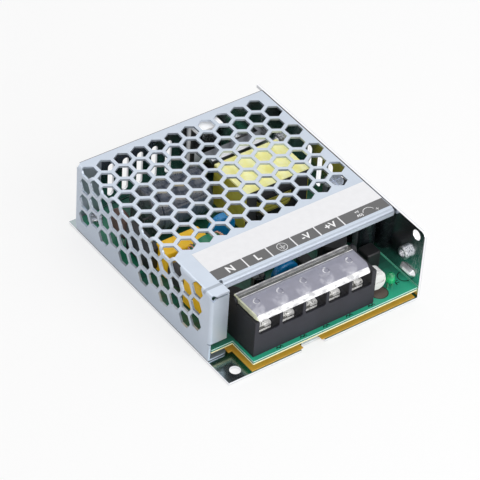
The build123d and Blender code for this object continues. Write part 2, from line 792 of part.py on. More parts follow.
# Mains side parts, each placed from the board's edges, the block or its neighbour.
input_film_side = 5.2
input_film_width = 4.4
input_film_front = -22.6
input_film_length = 10.7
input_film_height = 13.6
filter_film_side = 7.05
filter_film_width = 18.0
filter_film_front = 0.3
filter_film_depth = 7.6
filter_film_height = 11.0
film_rise = 0.8
film_radius = 0.7
film_lead = 0.35
film_lead_inset = 1.6
choke_gap = 0.5
choke_y = -7.6
choke_outer = 8.3
choke_inner = 4.4
choke_width = 7.0
choke_seat = 1.4
choke_corner = 0.9
choke_base_width = 12.4
choke_base_margin = 1.3
choke_base_height = 3.4
winding_thickness = 1.1
winding_gap = 0.05
winding_half_angle = 56.0
fuse_x = -22.5
fuse_gap = 3.9
fuse_radius = 4.2
fuse_height = 8.0
varistor_side = 7.4
varistor_y = -5.8
varistor_radius = 4.6
varistor_thickness = 3.6
thermistor_side = 5.4
thermistor_inset = 17.8
thermistor_radius = 5.5
thermistor_thickness = 4.2
bridge_side = 3.4
bridge_gap = 1.1
bridge_length = 14.6
bridge_thickness = 3.4
bridge_bottom = 2.2
bridge_height = 11.0
bridge_corner = 2.0
bulk_gap = 4.2
bulk_length = 24.7
bulk_radius = 9.0
bulk_inset = 18.0
bulk_groove_from = 2.4
bulk_groove_width = 1.2
bulk_groove_depth = 0.5
bulk_lead = 0.4
bulk_lead_reach = 2.2
bulk_lead_pitch = 7.5
disc_thickness = 3.4
disc_rise = 2.4
disc_lead = 0.35
disc_lead_pitch = 5.0
rear_disc_radius = 5.6
rear_disc_y = 6.4
front_disc_x = -1.0
front_disc_gap = 7.2
front_disc_radius = 5.4

input_film_left = board_left + input_film_side
filter_film_left = board_left + filter_film_side
filter_film_right = filter_film_left + filter_film_width
choke_x = input_film_left + input_film_width + choke_gap + choke_outer + winding_thickness
fuse_y = block_back + fuse_gap + fuse_radius
thermistor_y = board_back - thermistor_inset
bridge_back = thermistor_y - thermistor_radius - bridge_gap
bulk_right = core_left - bulk_gap
bulk_y = board_back - bulk_inset
disc_places = (
    ((filter_film_right + core_left) / 2, rear_disc_y, rear_disc_radius),
    (front_disc_x, block_back + front_disc_gap, front_disc_radius),
)


def fuse():
    """Round fuse standing on the board behind the live terminals."""
    body = post(fuse_x, fuse_y, fuse_radius, top_z, top_z + fuse_height)
    return fillet(body.edges().sort_by(Axis.Z)[-1], 0.6)


def film_capacitor(x0, x1, y0, y1, tall):
    """Box of a film capacitor with rounded edges, on two leads."""
    z0 = top_z + film_rise
    box = block_between(x0, x1, y0, y1, z0, z0 + tall)
    edges = box.edges().filter_by(Axis.Z) + box.edges().group_by(Axis.Z)[-1]
    body = fillet(edges, film_radius)
    along_x = x1 - x0 > y1 - y0
    reach = max(x1 - x0, y1 - y0) / 2 - film_lead_inset
    for side in (-1, 1):
        x = (x0 + x1) / 2 + (side * reach if along_x else 0)
        y = (y0 + y1) / 2 + (0 if along_x else side * reach)
        body += post(x, y, film_lead, top_z, z0 + 0.1)
    return body


def input_film_capacitor():
    """Narrow film capacitor beside the cover, across the mains."""
    return film_capacitor(input_film_left, input_film_left + input_film_width, input_film_front,
                          input_film_front + input_film_length, input_film_height)


def filter_film_capacitor():
    """Wide film capacitor behind the choke."""
    return film_capacitor(filter_film_left, filter_film_right, filter_film_front,
                          filter_film_front + filter_film_depth, filter_film_height)


def varistor():
    """Black coated disc across the mains."""
    return standing_disc(board_left + varistor_side, varistor_y, varistor_radius,
                         varistor_thickness, "X")


def choke_ring(inner, outer, width_y):
    """Ring standing on edge, its axis along Y."""
    z = top_z + choke_seat + choke_outer + winding_thickness
    plane = Plane((choke_x, choke_y + width_y / 2, z), x_dir=(1, 0, 0), z_dir=(0, -1, 0))
    return extrude(plane * (Circle(outer) - Circle(inner)), width_y)


def choke_core():
    """Green coated ferrite ring."""
    ring = choke_ring(choke_inner, choke_outer, choke_width)
    return fillet(ring.edges().filter_by(GeomType.CIRCLE), choke_corner)


def choke_windings():
    """Two copper windings, one on each half of the ring."""
    t = winding_thickness
    gap = winding_gap
    outer = choke_ring(choke_inner - t, choke_outer + t, choke_width + 2 * t)
    inner = choke_ring(choke_inner - gap, choke_outer + gap, choke_width + 2 * gap)
    shell = outer - inner
    reach = choke_outer + t + 2
    half = math.radians(winding_half_angle)
    z = top_z + choke_seat + choke_outer + winding_thickness
    pieces = []
    for side in (-1, 1):
        points = [(0, 0), (side * reach, -reach * math.tan(half)), (side * reach, reach * math.tan(half))]
        plane = Plane((choke_x, choke_y + choke_width, z), x_dir=(1, 0, 0), z_dir=(0, -1, 0))
        wedge = extrude(plane * make_face(Polyline(*points, close=True)), 2 * choke_width)
        pieces.append(shell & wedge)
    return Compound(children=pieces)


def choke_base():
    """Black seat that holds the ring on edge."""
    z = top_z + choke_seat + choke_outer + winding_thickness
    r = choke_outer + winding_thickness + 0.15
    half_x = choke_base_width / 2
    half_y = choke_width / 2 + choke_base_margin
    seat = block_between(choke_x - half_x, choke_x + half_x, choke_y - half_y, choke_y + half_y,
                         top_z, top_z + choke_base_height)
    return seat - rod_y(choke_x, choke_y - half_y - 1, choke_y + half_y + 1, z, r)


def bridge_rectifier():
    """Flat four lead bridge, standing on its leads."""
    x0 = board_left + bridge_side
    y0 = bridge_back - bridge_length
    z0 = top_z + bridge_bottom
    body = block_between(x0, x0 + bridge_thickness, y0, bridge_back, z0, z0 + bridge_height)
    body = chamfer(body.edges().filter_by(Axis.X).group_by(Axis.Z)[-1].sort_by(Axis.Y)[0], bridge_corner)
    pitch = bridge_length / 4
    for i in range(4):
        y = y0 + pitch * (i + 0.5)
        x = x0 + bridge_thickness / 2
        body += block_between(x - 0.3, x + 0.3, y - 0.4, y + 0.4, top_z, z0 + 0.1)
    return body


def standing_disc(x, y, radius, thickness, along):
    """Coated disc standing on two leads, its axis along X or Y."""
    z = top_z + disc_rise + radius
    if along == "X":
        body = rod_x(x - thickness / 2, x + thickness / 2, y, z, radius)
    else:
        body = rod_y(x, y - thickness / 2, y + thickness / 2, z, radius)
    body = fillet(body.edges().filter_by(GeomType.CIRCLE), thickness * 0.42)
    for side in (-1, 1):
        d = side * disc_lead_pitch / 2
        px, py = (x, y + d) if along == "X" else (x + d, y)
        body += post(px, py, disc_lead, top_z, z - radius * 0.7)
    return body


def thermistor():
    """Dark disc that limits the inrush current."""
    return standing_disc(board_left + thermistor_side, thermistor_y, thermistor_radius,
                         thermistor_thickness, "X")


def disc_capacitors():
    """Two blue safety capacitors."""
    return Compound(children=[standing_disc(x, y, r, disc_thickness, "Y") for x, y, r in disc_places])


def bulk_capacitor():
    """Large can lying on the board, sleeve with a crimp groove, leads at its left end."""
    z = top_z + bulk_radius
    left = bulk_right - bulk_length
    body = rod_x(left, bulk_right, bulk_y, z, bulk_radius)
    body = fillet(body.edges().filter_by(GeomType.CIRCLE), 0.8)
    groove_x = left + bulk_groove_from
    groove = rod_x(groove_x, groove_x + bulk_groove_width, bulk_y, z, bulk_radius + 1)
    groove -= rod_x(groove_x - 1, groove_x + bulk_groove_width + 1, bulk_y, z, bulk_radius - bulk_groove_depth)
    body -= groove
    lead_x = left - bulk_lead_reach
    for side in (-1, 1):
        y = bulk_y + side * bulk_lead_pitch / 2
        body += rod_x(lead_x, left + 0.5, y, z, bulk_lead)
        body += post(lead_x, y, bulk_lead, top_z, z + bulk_lead)
    return body


def transformer_pin_places():
    """Pins in two rows, along the front and rear edges of the bobbin."""
    rows = (core_front + bobbin_rail / 2, core_back - bobbin_rail / 2)
    span = (coil_pins - 1) * coil_pitch
    return [(core_middle_x - span / 2 + i * coil_pitch, y) for y in rows for i in range(coil_pins)]


def transformer_core():
    """Two ferrite halves, closed round the coil: a yoke above and below, legs at the ends."""
    y0 = core_middle_y - core_thickness / 2
    y1 = core_middle_y + core_thickness / 2
    body = block_between(core_left, core_right, y0, y1, core_bottom, core_top)
    window = block_between(core_left + core_leg, core_right - core_leg, y0 - 1, y1 + 1,
                           core_bottom + core_yoke, core_top - core_yoke)
    body -= window
    body += post(core_middle_x, core_middle_y, core_post, core_bottom + core_yoke - 0.1,
                 core_top - core_yoke + 0.1)
    low = (core_bottom + core_top - core_joint) / 2
    high = low + core_joint
    line = block_between(core_left - 1, core_left + core_joint, y0 - 1, y1 + 1, low, high)
    line += block_between(core_right - core_joint, core_right + 1, y0 - 1, y1 + 1, low, high)
    return body - line


def transformer_bobbin():
    """Black bobbin: tube and flanges round the centre post, with a pin rail front and rear."""
    z0 = core_bottom + core_yoke + coil_gap
    z1 = core_top - core_yoke - coil_gap
    half = core_width / 2 - core_leg - coil_clearance
    front = core_front + bobbin_inset
    back = core_back - bobbin_inset
    body = block_between(core_middle_x - half, core_middle_x + half, front, back, z0, z0 + bobbin_flange)
    body += block_between(core_middle_x - half, core_middle_x + half, front, back, z1 - bobbin_flange, z1)
    body += post(core_middle_x, core_middle_y, core_post + bobbin_tube, z0, z1)
    rail_half = (coil_pins - 1) * coil_pitch / 2 + bobbin_rail_margin
    rail_top = core_bottom - tape_thickness - coil_gap
    web_edge = core_middle_y - core_thickness / 2 - coil_gap
    for rail_to, web_to, edge in ((front + bobbin_rail, web_edge, front),
                                  (back - bobbin_rail, 2 * core_middle_y - web_edge, back)):
        y0, y1 = sorted((edge, rail_to))
        body += block_between(core_middle_x - rail_half, core_middle_x + rail_half, y0, y1, top_z, rail_top)
        y0, y1 = sorted((edge, web_to))
        body += block_between(core_middle_x - half, core_middle_x + half, y0, y1, top_z, z0 + 0.1)
    body -= post(core_middle_x, core_middle_y, core_post + coil_gap, z0 - 1, z1 + 1)
    for x, y in transformer_pin_places():
        body -= block_between(x - coil_pin / 2 - 0.05, x + coil_pin / 2 + 0.05, y - coil_pin / 2 - 0.05,
                              y + coil_pin / 2 + 0.05, top_z - 1, top_z + bobbin_pin_depth)
    return body


def transformer_coil():
    """Wound coil in yellow tape, round, bulging towards the front and the rear."""
    z0 = core_bottom + core_yoke + bobbin_flange + 2 * coil_gap
    z1 = core_top - core_yoke - bobbin_flange - 2 * coil_gap
    half = core_width / 2 - core_leg - coil_clearance - coil_gap
    reach = core_depth / 2 - coil_inset
    outer = RectangleRounded(2 * half, 2 * reach, half * 0.6)
    plan = outer - Circle(core_post + bobbin_tube + coil_gap)
    return Pos(core_middle_x, core_middle_y, z0) * extrude(plan, z1 - z0)


def transformer_tape():
    """Wide yellow tape once round the core: over the top, down both ends and underneath."""
    t = tape_thickness
    y0 = core_middle_y - core_thickness / 2
    y1 = core_middle_y + core_thickness / 2
    outer = block_between(core_left - t, core_right + t, y0, y1, core_bottom - t, core_top + t)
    outer = fillet(outer.edges().filter_by(Axis.Y), t)
    return outer - block_between(core_left, core_right, y0 - 1, y1 + 1, core_bottom, core_top)


def transformer_pins():
    """Tinned pins, from the bobbin rails through the board."""
    pins = []
    for x, y in transformer_pin_places():
        pins.append(block_between(x - coil_pin / 2, x + coil_pin / 2, y - coil_pin / 2, y + coil_pin / 2,
                                  board_z - pin_below_board, top_z + bobbin_pin_depth))
    return Compound(children=pins)


# Switching transistor on the back wall, rectifier on its own heatsink.
package_width = 10.2
package_thickness = 4.6
package_height = 15.8
package_head_room = 2.0
package_step = 2.8
package_step_height = 6.2
package_lead = 0.8
package_lead_pitch = 2.54
package_lead_depth = 2.4
tab_hole_drop = 3.2
transistor_x = 12.4
pad_thickness = 0.8
pad_margin = 0.6
pad_cap = 0.8
sink_left = 3.5
sink_right = 30.4
sink_gap = 6.2
sink_thickness = 1.5
sink_height = 18.6
sink_foot = 5.0
sink_flange = 4.2
sink_bend = 0.9
rectifier_x = 23.2
rectifier_drop = 1.8
nut_across = 5.4
nut_thickness = 1.8

package_top = cover_under - package_head_room
transistor_screw_z = package_top - tab_hole_drop
wall_face = back_y - chassis_sheet
sink_y = core_back + sink_gap
sink_top = top_z + sink_height
rectifier_top = sink_top - rectifier_drop


def power_package(x, face_y, top, toward):
    """Fully moulded three lead package; toward is +1 or -1, the way its front faces in Y."""
    z0 = top - package_height
    y0, y1 = sorted((face_y, face_y + toward * package_thickness))
    body = block_between(x - package_width / 2, x + package_width / 2, y0, y1, z0, top)
    step0, step1 = sorted((face_y + toward * package_step, face_y + toward * (package_thickness + 1)))
    body -= block_between(x - package_width, x + package_width, step0, step1,
                          top - package_step_height, top + 1)
    body -= rod_y(x, y0 - 1, y1 + 1, top - tab_hole_drop, m3 / 2 + m3_clearance)
    y = face_y + toward * package_lead_depth
    half = package_lead / 2
    for i in (-1, 0, 1):
        lead_x = x + i * package_lead_pitch
        body += block_between(lead_x - half, lead_x + half, y - half, y + half, top_z, z0 + 0.1)
    return body


def transistor_pad():
    """White silicone pad behind the transistor, with a flap folded over its top."""
    half = package_width / 2 + pad_margin
    cap_z = package_top + 0.1
    pad = block_between(transistor_x - half, transistor_x + half, wall_face - pad_thickness, wall_face,
                        package_top - package_height - pad_margin, cap_z + pad_cap)
    pad += block_between(transistor_x - half, transistor_x + half,
                         wall_face - pad_thickness - package_thickness, wall_face, cap_z, cap_z + pad_cap)
    return pad - rod_y(transistor_x, wall_face - 2, wall_face + 1, transistor_screw_z, m3 / 2 + m3_clearance)


def switching_transistor():
    """Transistor clamped to the back wall."""
    return power_package(transistor_x, wall_face - pad_thickness, package_top, -1)


def output_rectifier():
    """Double diode on the output heatsink."""
    return power_package(rectifier_x, sink_y + sink_thickness, rectifier_top, 1)


def output_heatsink():
    """Bent aluminium plate beside the transformer: two feet and a flange along its top."""
    inner = sink_left + sink_thickness
    plate = block_between(sink_left, sink_right, sink_y, sink_y + sink_thickness, top_z, sink_top)
    for x0, x1 in ((sink_left, inner), (sink_right - sink_thickness, sink_right)):
        plate += block_between(x0, x1, sink_y, sink_y + sink_foot, top_z, sink_top)
    plate = fillet(plate.edges().filter_by(Axis.Z).group_by(Axis.Y)[0], sink_bend)
    flange = block_between(inner, sink_right - sink_thickness, sink_y - sink_flange, sink_y + sink_thickness,
                           sink_top - sink_thickness, sink_top)
    plate += fillet(flange.edges().filter_by(Axis.X).group_by(Axis.Y)[-1].sort_by(Axis.Z)[-1], sink_bend)
    return plate - rod_y(rectifier_x, sink_y - 1, sink_y + sink_thickness + 1, rectifier_top - tab_hole_drop,
                         m3 / 2 + m3_clearance)


def package_screws():
    """One screw through each power package, with a nut behind the heatsink."""
    face = wall_face - pad_thickness - package_step
    first = rod_y(transistor_x, face - screw_head_height, face, transistor_screw_z, screw_head / 2)
    first += rod_y(transistor_x, face, back_y, transistor_screw_z, m3 / 2)
    z = rectifier_top - tab_hole_drop
    near = sink_y + sink_thickness + package_step
    second = rod_y(rectifier_x, near, near + screw_head_height, z, screw_head / 2)
    second += rod_y(rectifier_x, sink_y - nut_thickness, near, z, m3 / 2)
    nut = Plane((rectifier_x, sink_y, z), x_dir=(1, 0, 0), z_dir=(0, -1, 0)) * RegularPolygon(
        nut_across / math.sqrt(3), 6)
    second += extrude(nut, nut_thickness)
    return Compound(children=[first, second])


# Output side parts under the label, placed from the right wall and the block.
output_side = 4.2
output_gap = 9.6
output_pitch = 9.4
output_count = 3
output_radius = 4.0
output_height = 18.4
can_groove_from = 1.6
can_groove_width = 0.8
can_groove_depth = 0.3
can_score = 0.3
moulded_choke_side = 7.1
moulded_choke_gap = 2.3
moulded_choke_size = 6.0
moulded_choke_height = 6.9
moulded_choke_corner = 0.8
inductor_x = 21.0
inductor_gap = 9.6
inductor_radius = 5.2
inductor_height = 12.0
inductor_flange = 1.4
inductor_post = 2.6
inductor_wire_inset = 0.5
chip_place = (4.0, -10.5)
chip_size = (9.4, 6.4, 3.3)
opto_size = (4.6, 6.4, 3.6)
chip_rise = 0.5
chip_leg = 0.8
chip_leg_sheet = 0.5
resistor_radius = 1.25
resistor_length = 6.6
diode_radius = 1.6
diode_length = 5.4
axial_rise = 0.6
lead_radius = 0.35
lead_reach = 1.4
lead_bend = 0.8
lead_gap = 0.3

output_x = board_right - output_side
output_y = block_back + output_gap
small_places = ((-10.0, block_back + 10.4, 2.5, 9.0), (17.0, -8.4, 3.15, 11.0))
opto_place = (12.6, block_back + 12.0)
axial_x = output_x - output_radius - lead_gap - resistor_length / 2 - lead_reach - lead_radius
resistor_places = ((3.0, block_back + 3.0), (9.8, -4.0), (axial_x, block_back + 18.6), (axial_x, -3.4))
filter_to_bulk = (filter_film_front + filter_film_depth + bulk_y - bulk_radius) / 2
diode_places = ((12.6, block_back + 3.2), (-12.0, filter_to_bulk))


def sleeved_can(x, y, radius, tall):
    """Standing electrolytic capacitor with a crimp groove and a cross scored top."""
    body = post(x, y, radius, top_z, top_z + tall)
    body = fillet(body.edges().sort_by(Axis.Z)[-1], 0.6)
    groove_z = top_z + can_groove_from
    ring = post(x, y, radius + 1, groove_z, groove_z + can_groove_width)
    ring -= post(x, y, radius - can_groove_depth, groove_z - 1, groove_z + can_groove_width + 1)
    body -= ring
    score = Pos(x, y, top_z + tall) * Box(radius * 1.3, can_score, 2 * can_score)
    score += Pos(x, y, top_z + tall) * Box(can_score, radius * 1.3, 2 * can_score)
    return body - score


def output_capacitors():
    """Output capacitors in a row along the right wall."""
    rows = [output_y + i * output_pitch for i in range(output_count)]
    return Compound(children=[sleeved_can(output_x, y, output_radius, output_height) for y in rows])


def small_capacitors():
    """Small electrolytic capacitors."""
    return Compound(children=[sleeved_can(*place) for place in small_places])


def moulded_choke():
    """Black square choke in front of the output capacitors."""
    x = board_right - moulded_choke_side
    y = block_back + moulded_choke_gap
    half = moulded_choke_size / 2
    body = block_between(x - half, x + half, y - half, y + half, top_z, top_z + moulded_choke_height)
    body = fillet(body.edges().filter_by(Axis.Z), moulded_choke_corner)
    return chamfer(body.faces().sort_by(Axis.Z)[-1].edges(), moulded_choke_corner / 2)


def inductor_core():
    """Ferrite bobbin of the output choke."""
    y = block_back + inductor_gap
    z1 = top_z + inductor_height
    body = post(inductor_x, y, inductor_radius, top_z, top_z + inductor_flange)
    body += post(inductor_x, y, inductor_radius, z1 - inductor_flange, z1)
    return body + post(inductor_x, y, inductor_post, top_z, z1)


def inductor_winding():
    """Copper winding between the flanges."""
    y = block_back + inductor_gap
    z0 = top_z + inductor_flange + winding_gap
    z1 = top_z + inductor_height - inductor_flange - winding_gap
    body = post(inductor_x, y, inductor_radius - inductor_wire_inset, z0, z1)
    return body - post(inductor_x, y, inductor_post + winding_gap, z0 - 1, z1 + 1)


def dual_row_chip(place, size, pins_each):
    """Small moulded package with legs down both sides."""
    x, y = place
    length, breadth, tall = size
    z0 = top_z + chip_rise
    body = block_between(x - length / 2, x + length / 2, y - breadth / 2, y + breadth / 2, z0, z0 + tall)
    body = chamfer(body.edges().group_by(Axis.Z)[-1], chip_rise)
    pitch = length / pins_each
    half = chip_leg / 2
    for i in range(pins_each):
        px = x - length / 2 + pitch * (i + 0.5)
        for side in (-1, 1):
            y0, y1 = sorted((y + side * (breadth / 2 - 0.05), y + side * (breadth / 2 + chip_leg_sheet)))
            body += block_between(px - half, px + half, y0, y1, top_z, z0 + tall * 0.5)
    return body


def axial_part(x, y, radius, length):
    """Axial part lying along X, on one wire bent down to the board at both ends."""
    z = top_z + radius + axial_rise
    reach = length / 2 + lead_reach
    path = FilletPolyline((x - reach, y, top_z), (x - reach, y, z), (x + reach, y, z), (x + reach, y, top_z),
                          radius=lead_bend)
    wire = sweep(Pos(x - reach, y, top_z) * Circle(lead_radius), path=path)
    body = rod_x(x - length / 2, x + length / 2, y, z, radius)
    return fillet(body.edges().filter_by(GeomType.CIRCLE), radius * 0.35) + wire


def resistors():
    """Axial resistors."""
    return Compound(children=[axial_part(*place, resistor_radius, resistor_length) for place in resistor_places])


def diodes():
    """Axial diodes."""
    return Compound(children=[axial_part(*place, diode_radius, diode_length) for place in diode_places])


def cover_screws():
    """Countersunk screws, up through the base into the feet of the cover."""
    screws = []
    for x, y in foot_screws:
        head = Pos(x, y, chassis_sheet / 2) * Cone(screw_head / 2, m3 / 2, chassis_sheet)
        screw = head + post(x, y, boss_thread / 2 - 0.05, 0.2, floor_z + cover_sheet + 0.6)
        screws.append(screw)
    return Compound(children=screws)


def board_screws():
    """Screws that hold the rear corners of the board to the bosses of the base."""
    screws = []
    for x, y in board_screws_at:
        head = post(x, y, screw_head / 2, top_z, top_z + screw_head_height)
        head = fillet(head.edges().sort_by(Axis.Z)[-1], 0.7)
        screw = head + post(x, y, boss_thread / 2, board_z - 2.6, top_z)
        screws.append(screw - phillips(x, y, top_z + screw_head_height, screw_head * 0.55, 1.0))
    return Compound(children=screws)


def mounting_nuts():
    """Round pressed nuts, two in the right wall and two in the base, for fixing the supply."""
    nuts = []
    inner = right_x - chassis_sheet
    for y in side_nut_y:
        nut = rod_x(inner - nut_height, inner, y, side_nut_z, nut_diameter / 2)
        nut = chamfer(nut.edges().group_by(Axis.X)[0], 0.4)
        nut += rod_x(inner - 0.1, right_x, y, side_nut_z, nut_shank / 2)
        nuts.append(nut - rod_x(inner - nut_height - 1, right_x + 1, y, side_nut_z, m3 / 2))
    for y in base_nut_y:
        nut = post(base_nut_x, y, nut_diameter / 2, floor_z, floor_z + nut_height)
        nut = chamfer(nut.edges().group_by(Axis.Z)[-1], 0.4)
        nut += post(base_nut_x, y, nut_shank / 2, 0, floor_z + 0.1)
        nuts.append(nut - post(base_nut_x, y, m3 / 2, -1, floor_z + nut_height + 1))
    return Compound(children=nuts)


def all_parts():
    """Every node by name."""
    return {
        "chassis": chassis(),
        "cover": cover(),
        "terminal_label": terminal_label(),
        "cover_screws": cover_screws(),
        "board_screws": board_screws(),
        "mounting_nuts": mounting_nuts(),
        "insulating_film": insulating_film(),
        "circuit_board": circuit_board(),
        "terminal_block": terminal_block(),
        "terminal_lid": terminal_lid(),
        "terminal_plates": terminal_plates(),
        "terminal_clamps": terminal_clamps(),
        "terminal_screws": terminal_screws(),
        "trimmer_body": trimmer_body(),
        "trimmer_rotor": trimmer_rotor(),
        "indicator_led": indicator_led(),
        "fuse": fuse(),
        "input_film_capacitor": input_film_capacitor(),
        "filter_film_capacitor": filter_film_capacitor(),
        "choke_core": choke_core(),
        "choke_windings": choke_windings(),
        "choke_base": choke_base(),
        "bridge_rectifier": bridge_rectifier(),
        "thermistor": thermistor(),
        "varistor": varistor(),
        "disc_capacitors": disc_capacitors(),
        "bulk_capacitor": bulk_capacitor(),
        "transformer_core": transformer_core(),
        "transformer_bobbin": transformer_bobbin(),
        "transformer_coil": transformer_coil(),
        "transformer_tape": transformer_tape(),
        "transformer_pins": transformer_pins(),
        "transistor_pad": transistor_pad(),
        "switching_transistor": switching_transistor(),
        "output_heatsink": output_heatsink(),
        "output_rectifier": output_rectifier(),
        "package_screws": package_screws(),
        "output_capacitors": output_capacitors(),
        "small_capacitors": small_capacitors(),
        "moulded_choke": moulded_choke(),
        "inductor_core": inductor_core(),
        "inductor_winding": inductor_winding(),
        "controller_chip": dual_row_chip(chip_place, chip_size, 4),
        "optocoupler": dual_row_chip(opto_place, opto_size, 2),
        "resistors": resistors(),
        "diodes": diodes(),
    }


os.makedirs("parts", exist_ok=True)
for name, shape in all_parts().items():
    export_step(shape, f"parts/{name}.step")
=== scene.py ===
import math

import bpy
from mathutils import Matrix, Vector


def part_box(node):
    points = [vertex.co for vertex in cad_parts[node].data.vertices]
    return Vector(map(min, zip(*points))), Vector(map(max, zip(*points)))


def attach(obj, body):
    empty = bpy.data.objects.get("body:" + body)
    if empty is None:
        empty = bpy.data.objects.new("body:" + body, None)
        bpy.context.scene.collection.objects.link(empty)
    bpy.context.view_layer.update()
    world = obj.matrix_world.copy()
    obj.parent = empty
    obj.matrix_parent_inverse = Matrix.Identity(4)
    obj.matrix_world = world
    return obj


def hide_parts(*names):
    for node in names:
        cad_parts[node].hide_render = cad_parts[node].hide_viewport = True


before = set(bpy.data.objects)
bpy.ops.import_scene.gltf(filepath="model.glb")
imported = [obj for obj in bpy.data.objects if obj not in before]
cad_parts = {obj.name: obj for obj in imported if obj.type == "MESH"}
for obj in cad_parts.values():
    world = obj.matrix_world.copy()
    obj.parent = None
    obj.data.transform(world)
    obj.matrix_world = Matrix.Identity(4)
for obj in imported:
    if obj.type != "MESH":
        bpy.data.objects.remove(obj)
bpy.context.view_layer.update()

# The chassis is one folded aluminium sheet: base, tall right wall and back wall, with ears
# for the panel screws. It is left bare, with the drag lines of the rolling mill, so its
# inside mirrors the board. Light is also painted on it: a green-grey painted reflection of
# the board on the top of the base, a green painted reflection of the board along the wall at
# board height, and glowing painted highlights on its cut edges, its pressed lance and streaks
# inside the wall in front.

mm = 0.001


class Value:
    """A number, vector or colour among the nodes. Arithmetic on numbers adds Math nodes."""

    def __init__(self, nodes, socket):
        self.nodes = nodes
        self.socket = socket

    def __add__(self, other): return self.nodes.maths("ADD", self, other)
    def __radd__(self, other): return self.nodes.maths("ADD", other, self)
    def __sub__(self, other): return self.nodes.maths("SUBTRACT", self, other)
    def __rsub__(self, other): return self.nodes.maths("SUBTRACT", other, self)
    def __mul__(self, other): return self.nodes.maths("MULTIPLY", self, other)
    def __rmul__(self, other): return self.nodes.maths("MULTIPLY", other, self)
    def __pow__(self, other): return self.nodes.maths("POWER", self, other)
    def __rpow__(self, other): return self.nodes.maths("POWER", other, self)
    def __abs__(self): return self.nodes.maths("ABSOLUTE", self)
    def above(self, other): return self.nodes.maths("GREATER_THAN", self, other)
    def below(self, other): return self.nodes.maths("LESS_THAN", self, other)
    def most(self, other): return self.nodes.maths("MAXIMUM", self, other)
    def least(self, other): return self.nodes.maths("MINIMUM", self, other)
    def wrapped(self, step): return self.nodes.maths("PINGPONG", self, step)


class Nodes:
    """The nodes of a material or of the world."""

    def __init__(self, tree):
        self.tree = tree

    def node(self, kind, settings=None, values=None, output=0):
        """One node: its settings first, then the values or links of its sockets."""
        made = self.tree.nodes.new("ShaderNode" + kind)
        for key, setting in (settings or {}).items():
            setattr(made, key, setting)
        for key, value in (values or {}).items():
            self.join(made.inputs[key], value)
        return Value(self, made.outputs[output])

    def join(self, socket, value):
        """Links a value to a socket, or sets the socket to a plain number or colour."""
        if isinstance(value, Value):
            self.tree.links.new(value.socket, socket)
        elif socket.type == "RGBA":
            socket.default_value = (*value, 1.0)
        else:
            socket.default_value = value

    def maths(self, operation, *terms):
        """A Math node on numbers."""
        return self.node("Math", {"operation": operation}, dict(enumerate(terms)))

    def spread(self, value, low, high):
        """A 0 to 1 value moved to another range."""
        return self.node("MapRange", {}, {0: value, 3: low, 4: high})

    def climb(self, value, start, end):
        """0 where the value is at the start, 1 where it is at the end, even between."""
        return self.node("MapRange", {}, {0: value, 1: start, 2: end, 3: 0.0, 4: 1.0})


class Finish(Nodes):
    """A named material, the nodes that vary it, and its places in millimetres."""

    def __init__(self, name, colour, roughness, metallic=0.0, **fixed):
        self.material = bpy.data.materials.new(name)
        self.material.use_nodes = True
        super().__init__(self.material.node_tree)
        self.surface = self.tree.nodes["Principled BSDF"]
        self.set(base_color=colour, roughness=roughness, metallic=metallic, **fixed)
        place = self.node("TexCoord", output="Object")
        self.place = self.node("VectorMath", {"operation": "SCALE"}, {0: place, "Scale": 1.0 / mm})
        self.x, self.y, self.z = (
            self.node("SeparateXYZ", {}, {0: self.place}, axis) for axis in "XYZ")

    def set(self, **values):
        """Sets or links the shader's own sockets, by name."""
        for name, value in values.items():
            socket = name.replace("_", " ").title().replace("Ior", "IOR")
            self.join(self.surface.inputs[socket], value)

    def noise(self, scale, detail=2.0, roughness=0.5, stretch=(1.0, 1.0, 1.0)):
        """Noise between 0 and 1; scale counts lumps in a millimetre."""
        where = self.node("VectorMath", {"operation": "MULTIPLY"}, {0: self.place, 1: stretch})
        values = {"Vector": where, "Scale": scale, "Detail": detail, "Roughness": roughness}
        return self.node("TexNoise", {}, values)

    def from_axis(self, x0, y0):
        """Distance from an upright axis."""
        return ((self.x - x0) ** 2.0 + (self.y - y0) ** 2.0) ** 0.5

    def between(self, value, low, high, soft=0.05):
        """1 where the value lies between two limits, with soft edges."""
        smooth = {"interpolation_type": "SMOOTHSTEP"}
        rise = self.node("MapRange", smooth, {0: value, 1: low - soft, 2: low + soft})
        fall = self.node("MapRange", smooth,
                         {0: value, 1: high - soft, 2: high + soft, 3: 1.0, 4: 0.0})
        return rise * fall

    def blend(self, share, first, second):
        """Colour between two colours."""
        return self.node("Mix", {"data_type": "RGBA"}, {0: share, 6: first, 7: second}, 2)

    def mottle(self, pattern, first, second, smooth, rough):
        """Colour and roughness that both follow one pattern."""
        self.set(base_color=self.blend(pattern, first, second),
                 roughness=self.spread(pattern, smooth, rough))

    def bump(self, height, depth):
        """Small relief; the height runs from 0 to 1 and the depth is in millimetres."""
        self.set(normal=self.node("Bump", {}, {"Height": height, "Distance": depth * mm}))

    def on(self, *names):
        """Puts the finish on CAD nodes."""
        for name in names:
            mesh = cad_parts[name].data
            mesh.materials.clear()
            mesh.materials.append(self.material)


unlit = (0.0, 0.0, 0.0)
white = (1.0, 1.0, 1.0)
sheet = 1.0
wall_inside = 40.0
rolled = Finish("bare_aluminium", (0.80, 0.81, 0.83), 0.22, 1.0)
drag = rolled.noise(1.0, 3.0, 0.6, (0.35, 9.0, 9.0))
cloud = rolled.noise(0.05, 2.0)
streaks = drag * 0.6 + cloud * 0.4
# The top of the base is tinted green-grey: a painted reflection of the board, with painted shade
# under it.
painted_base_reflection = rolled.between(rolled.z, sheet - 0.03, sheet + 0.03, 0.02)
skin = rolled.blend(streaks, (0.50, 0.51, 0.53), (0.80, 0.81, 0.84))
rolled.set(base_color=rolled.blend(painted_base_reflection * 0.6, skin, (0.26, 0.36, 0.37)))
rolled.set(roughness=rolled.spread(streaks, 0.10, 0.30))
rolled.bump(drag, 0.004)
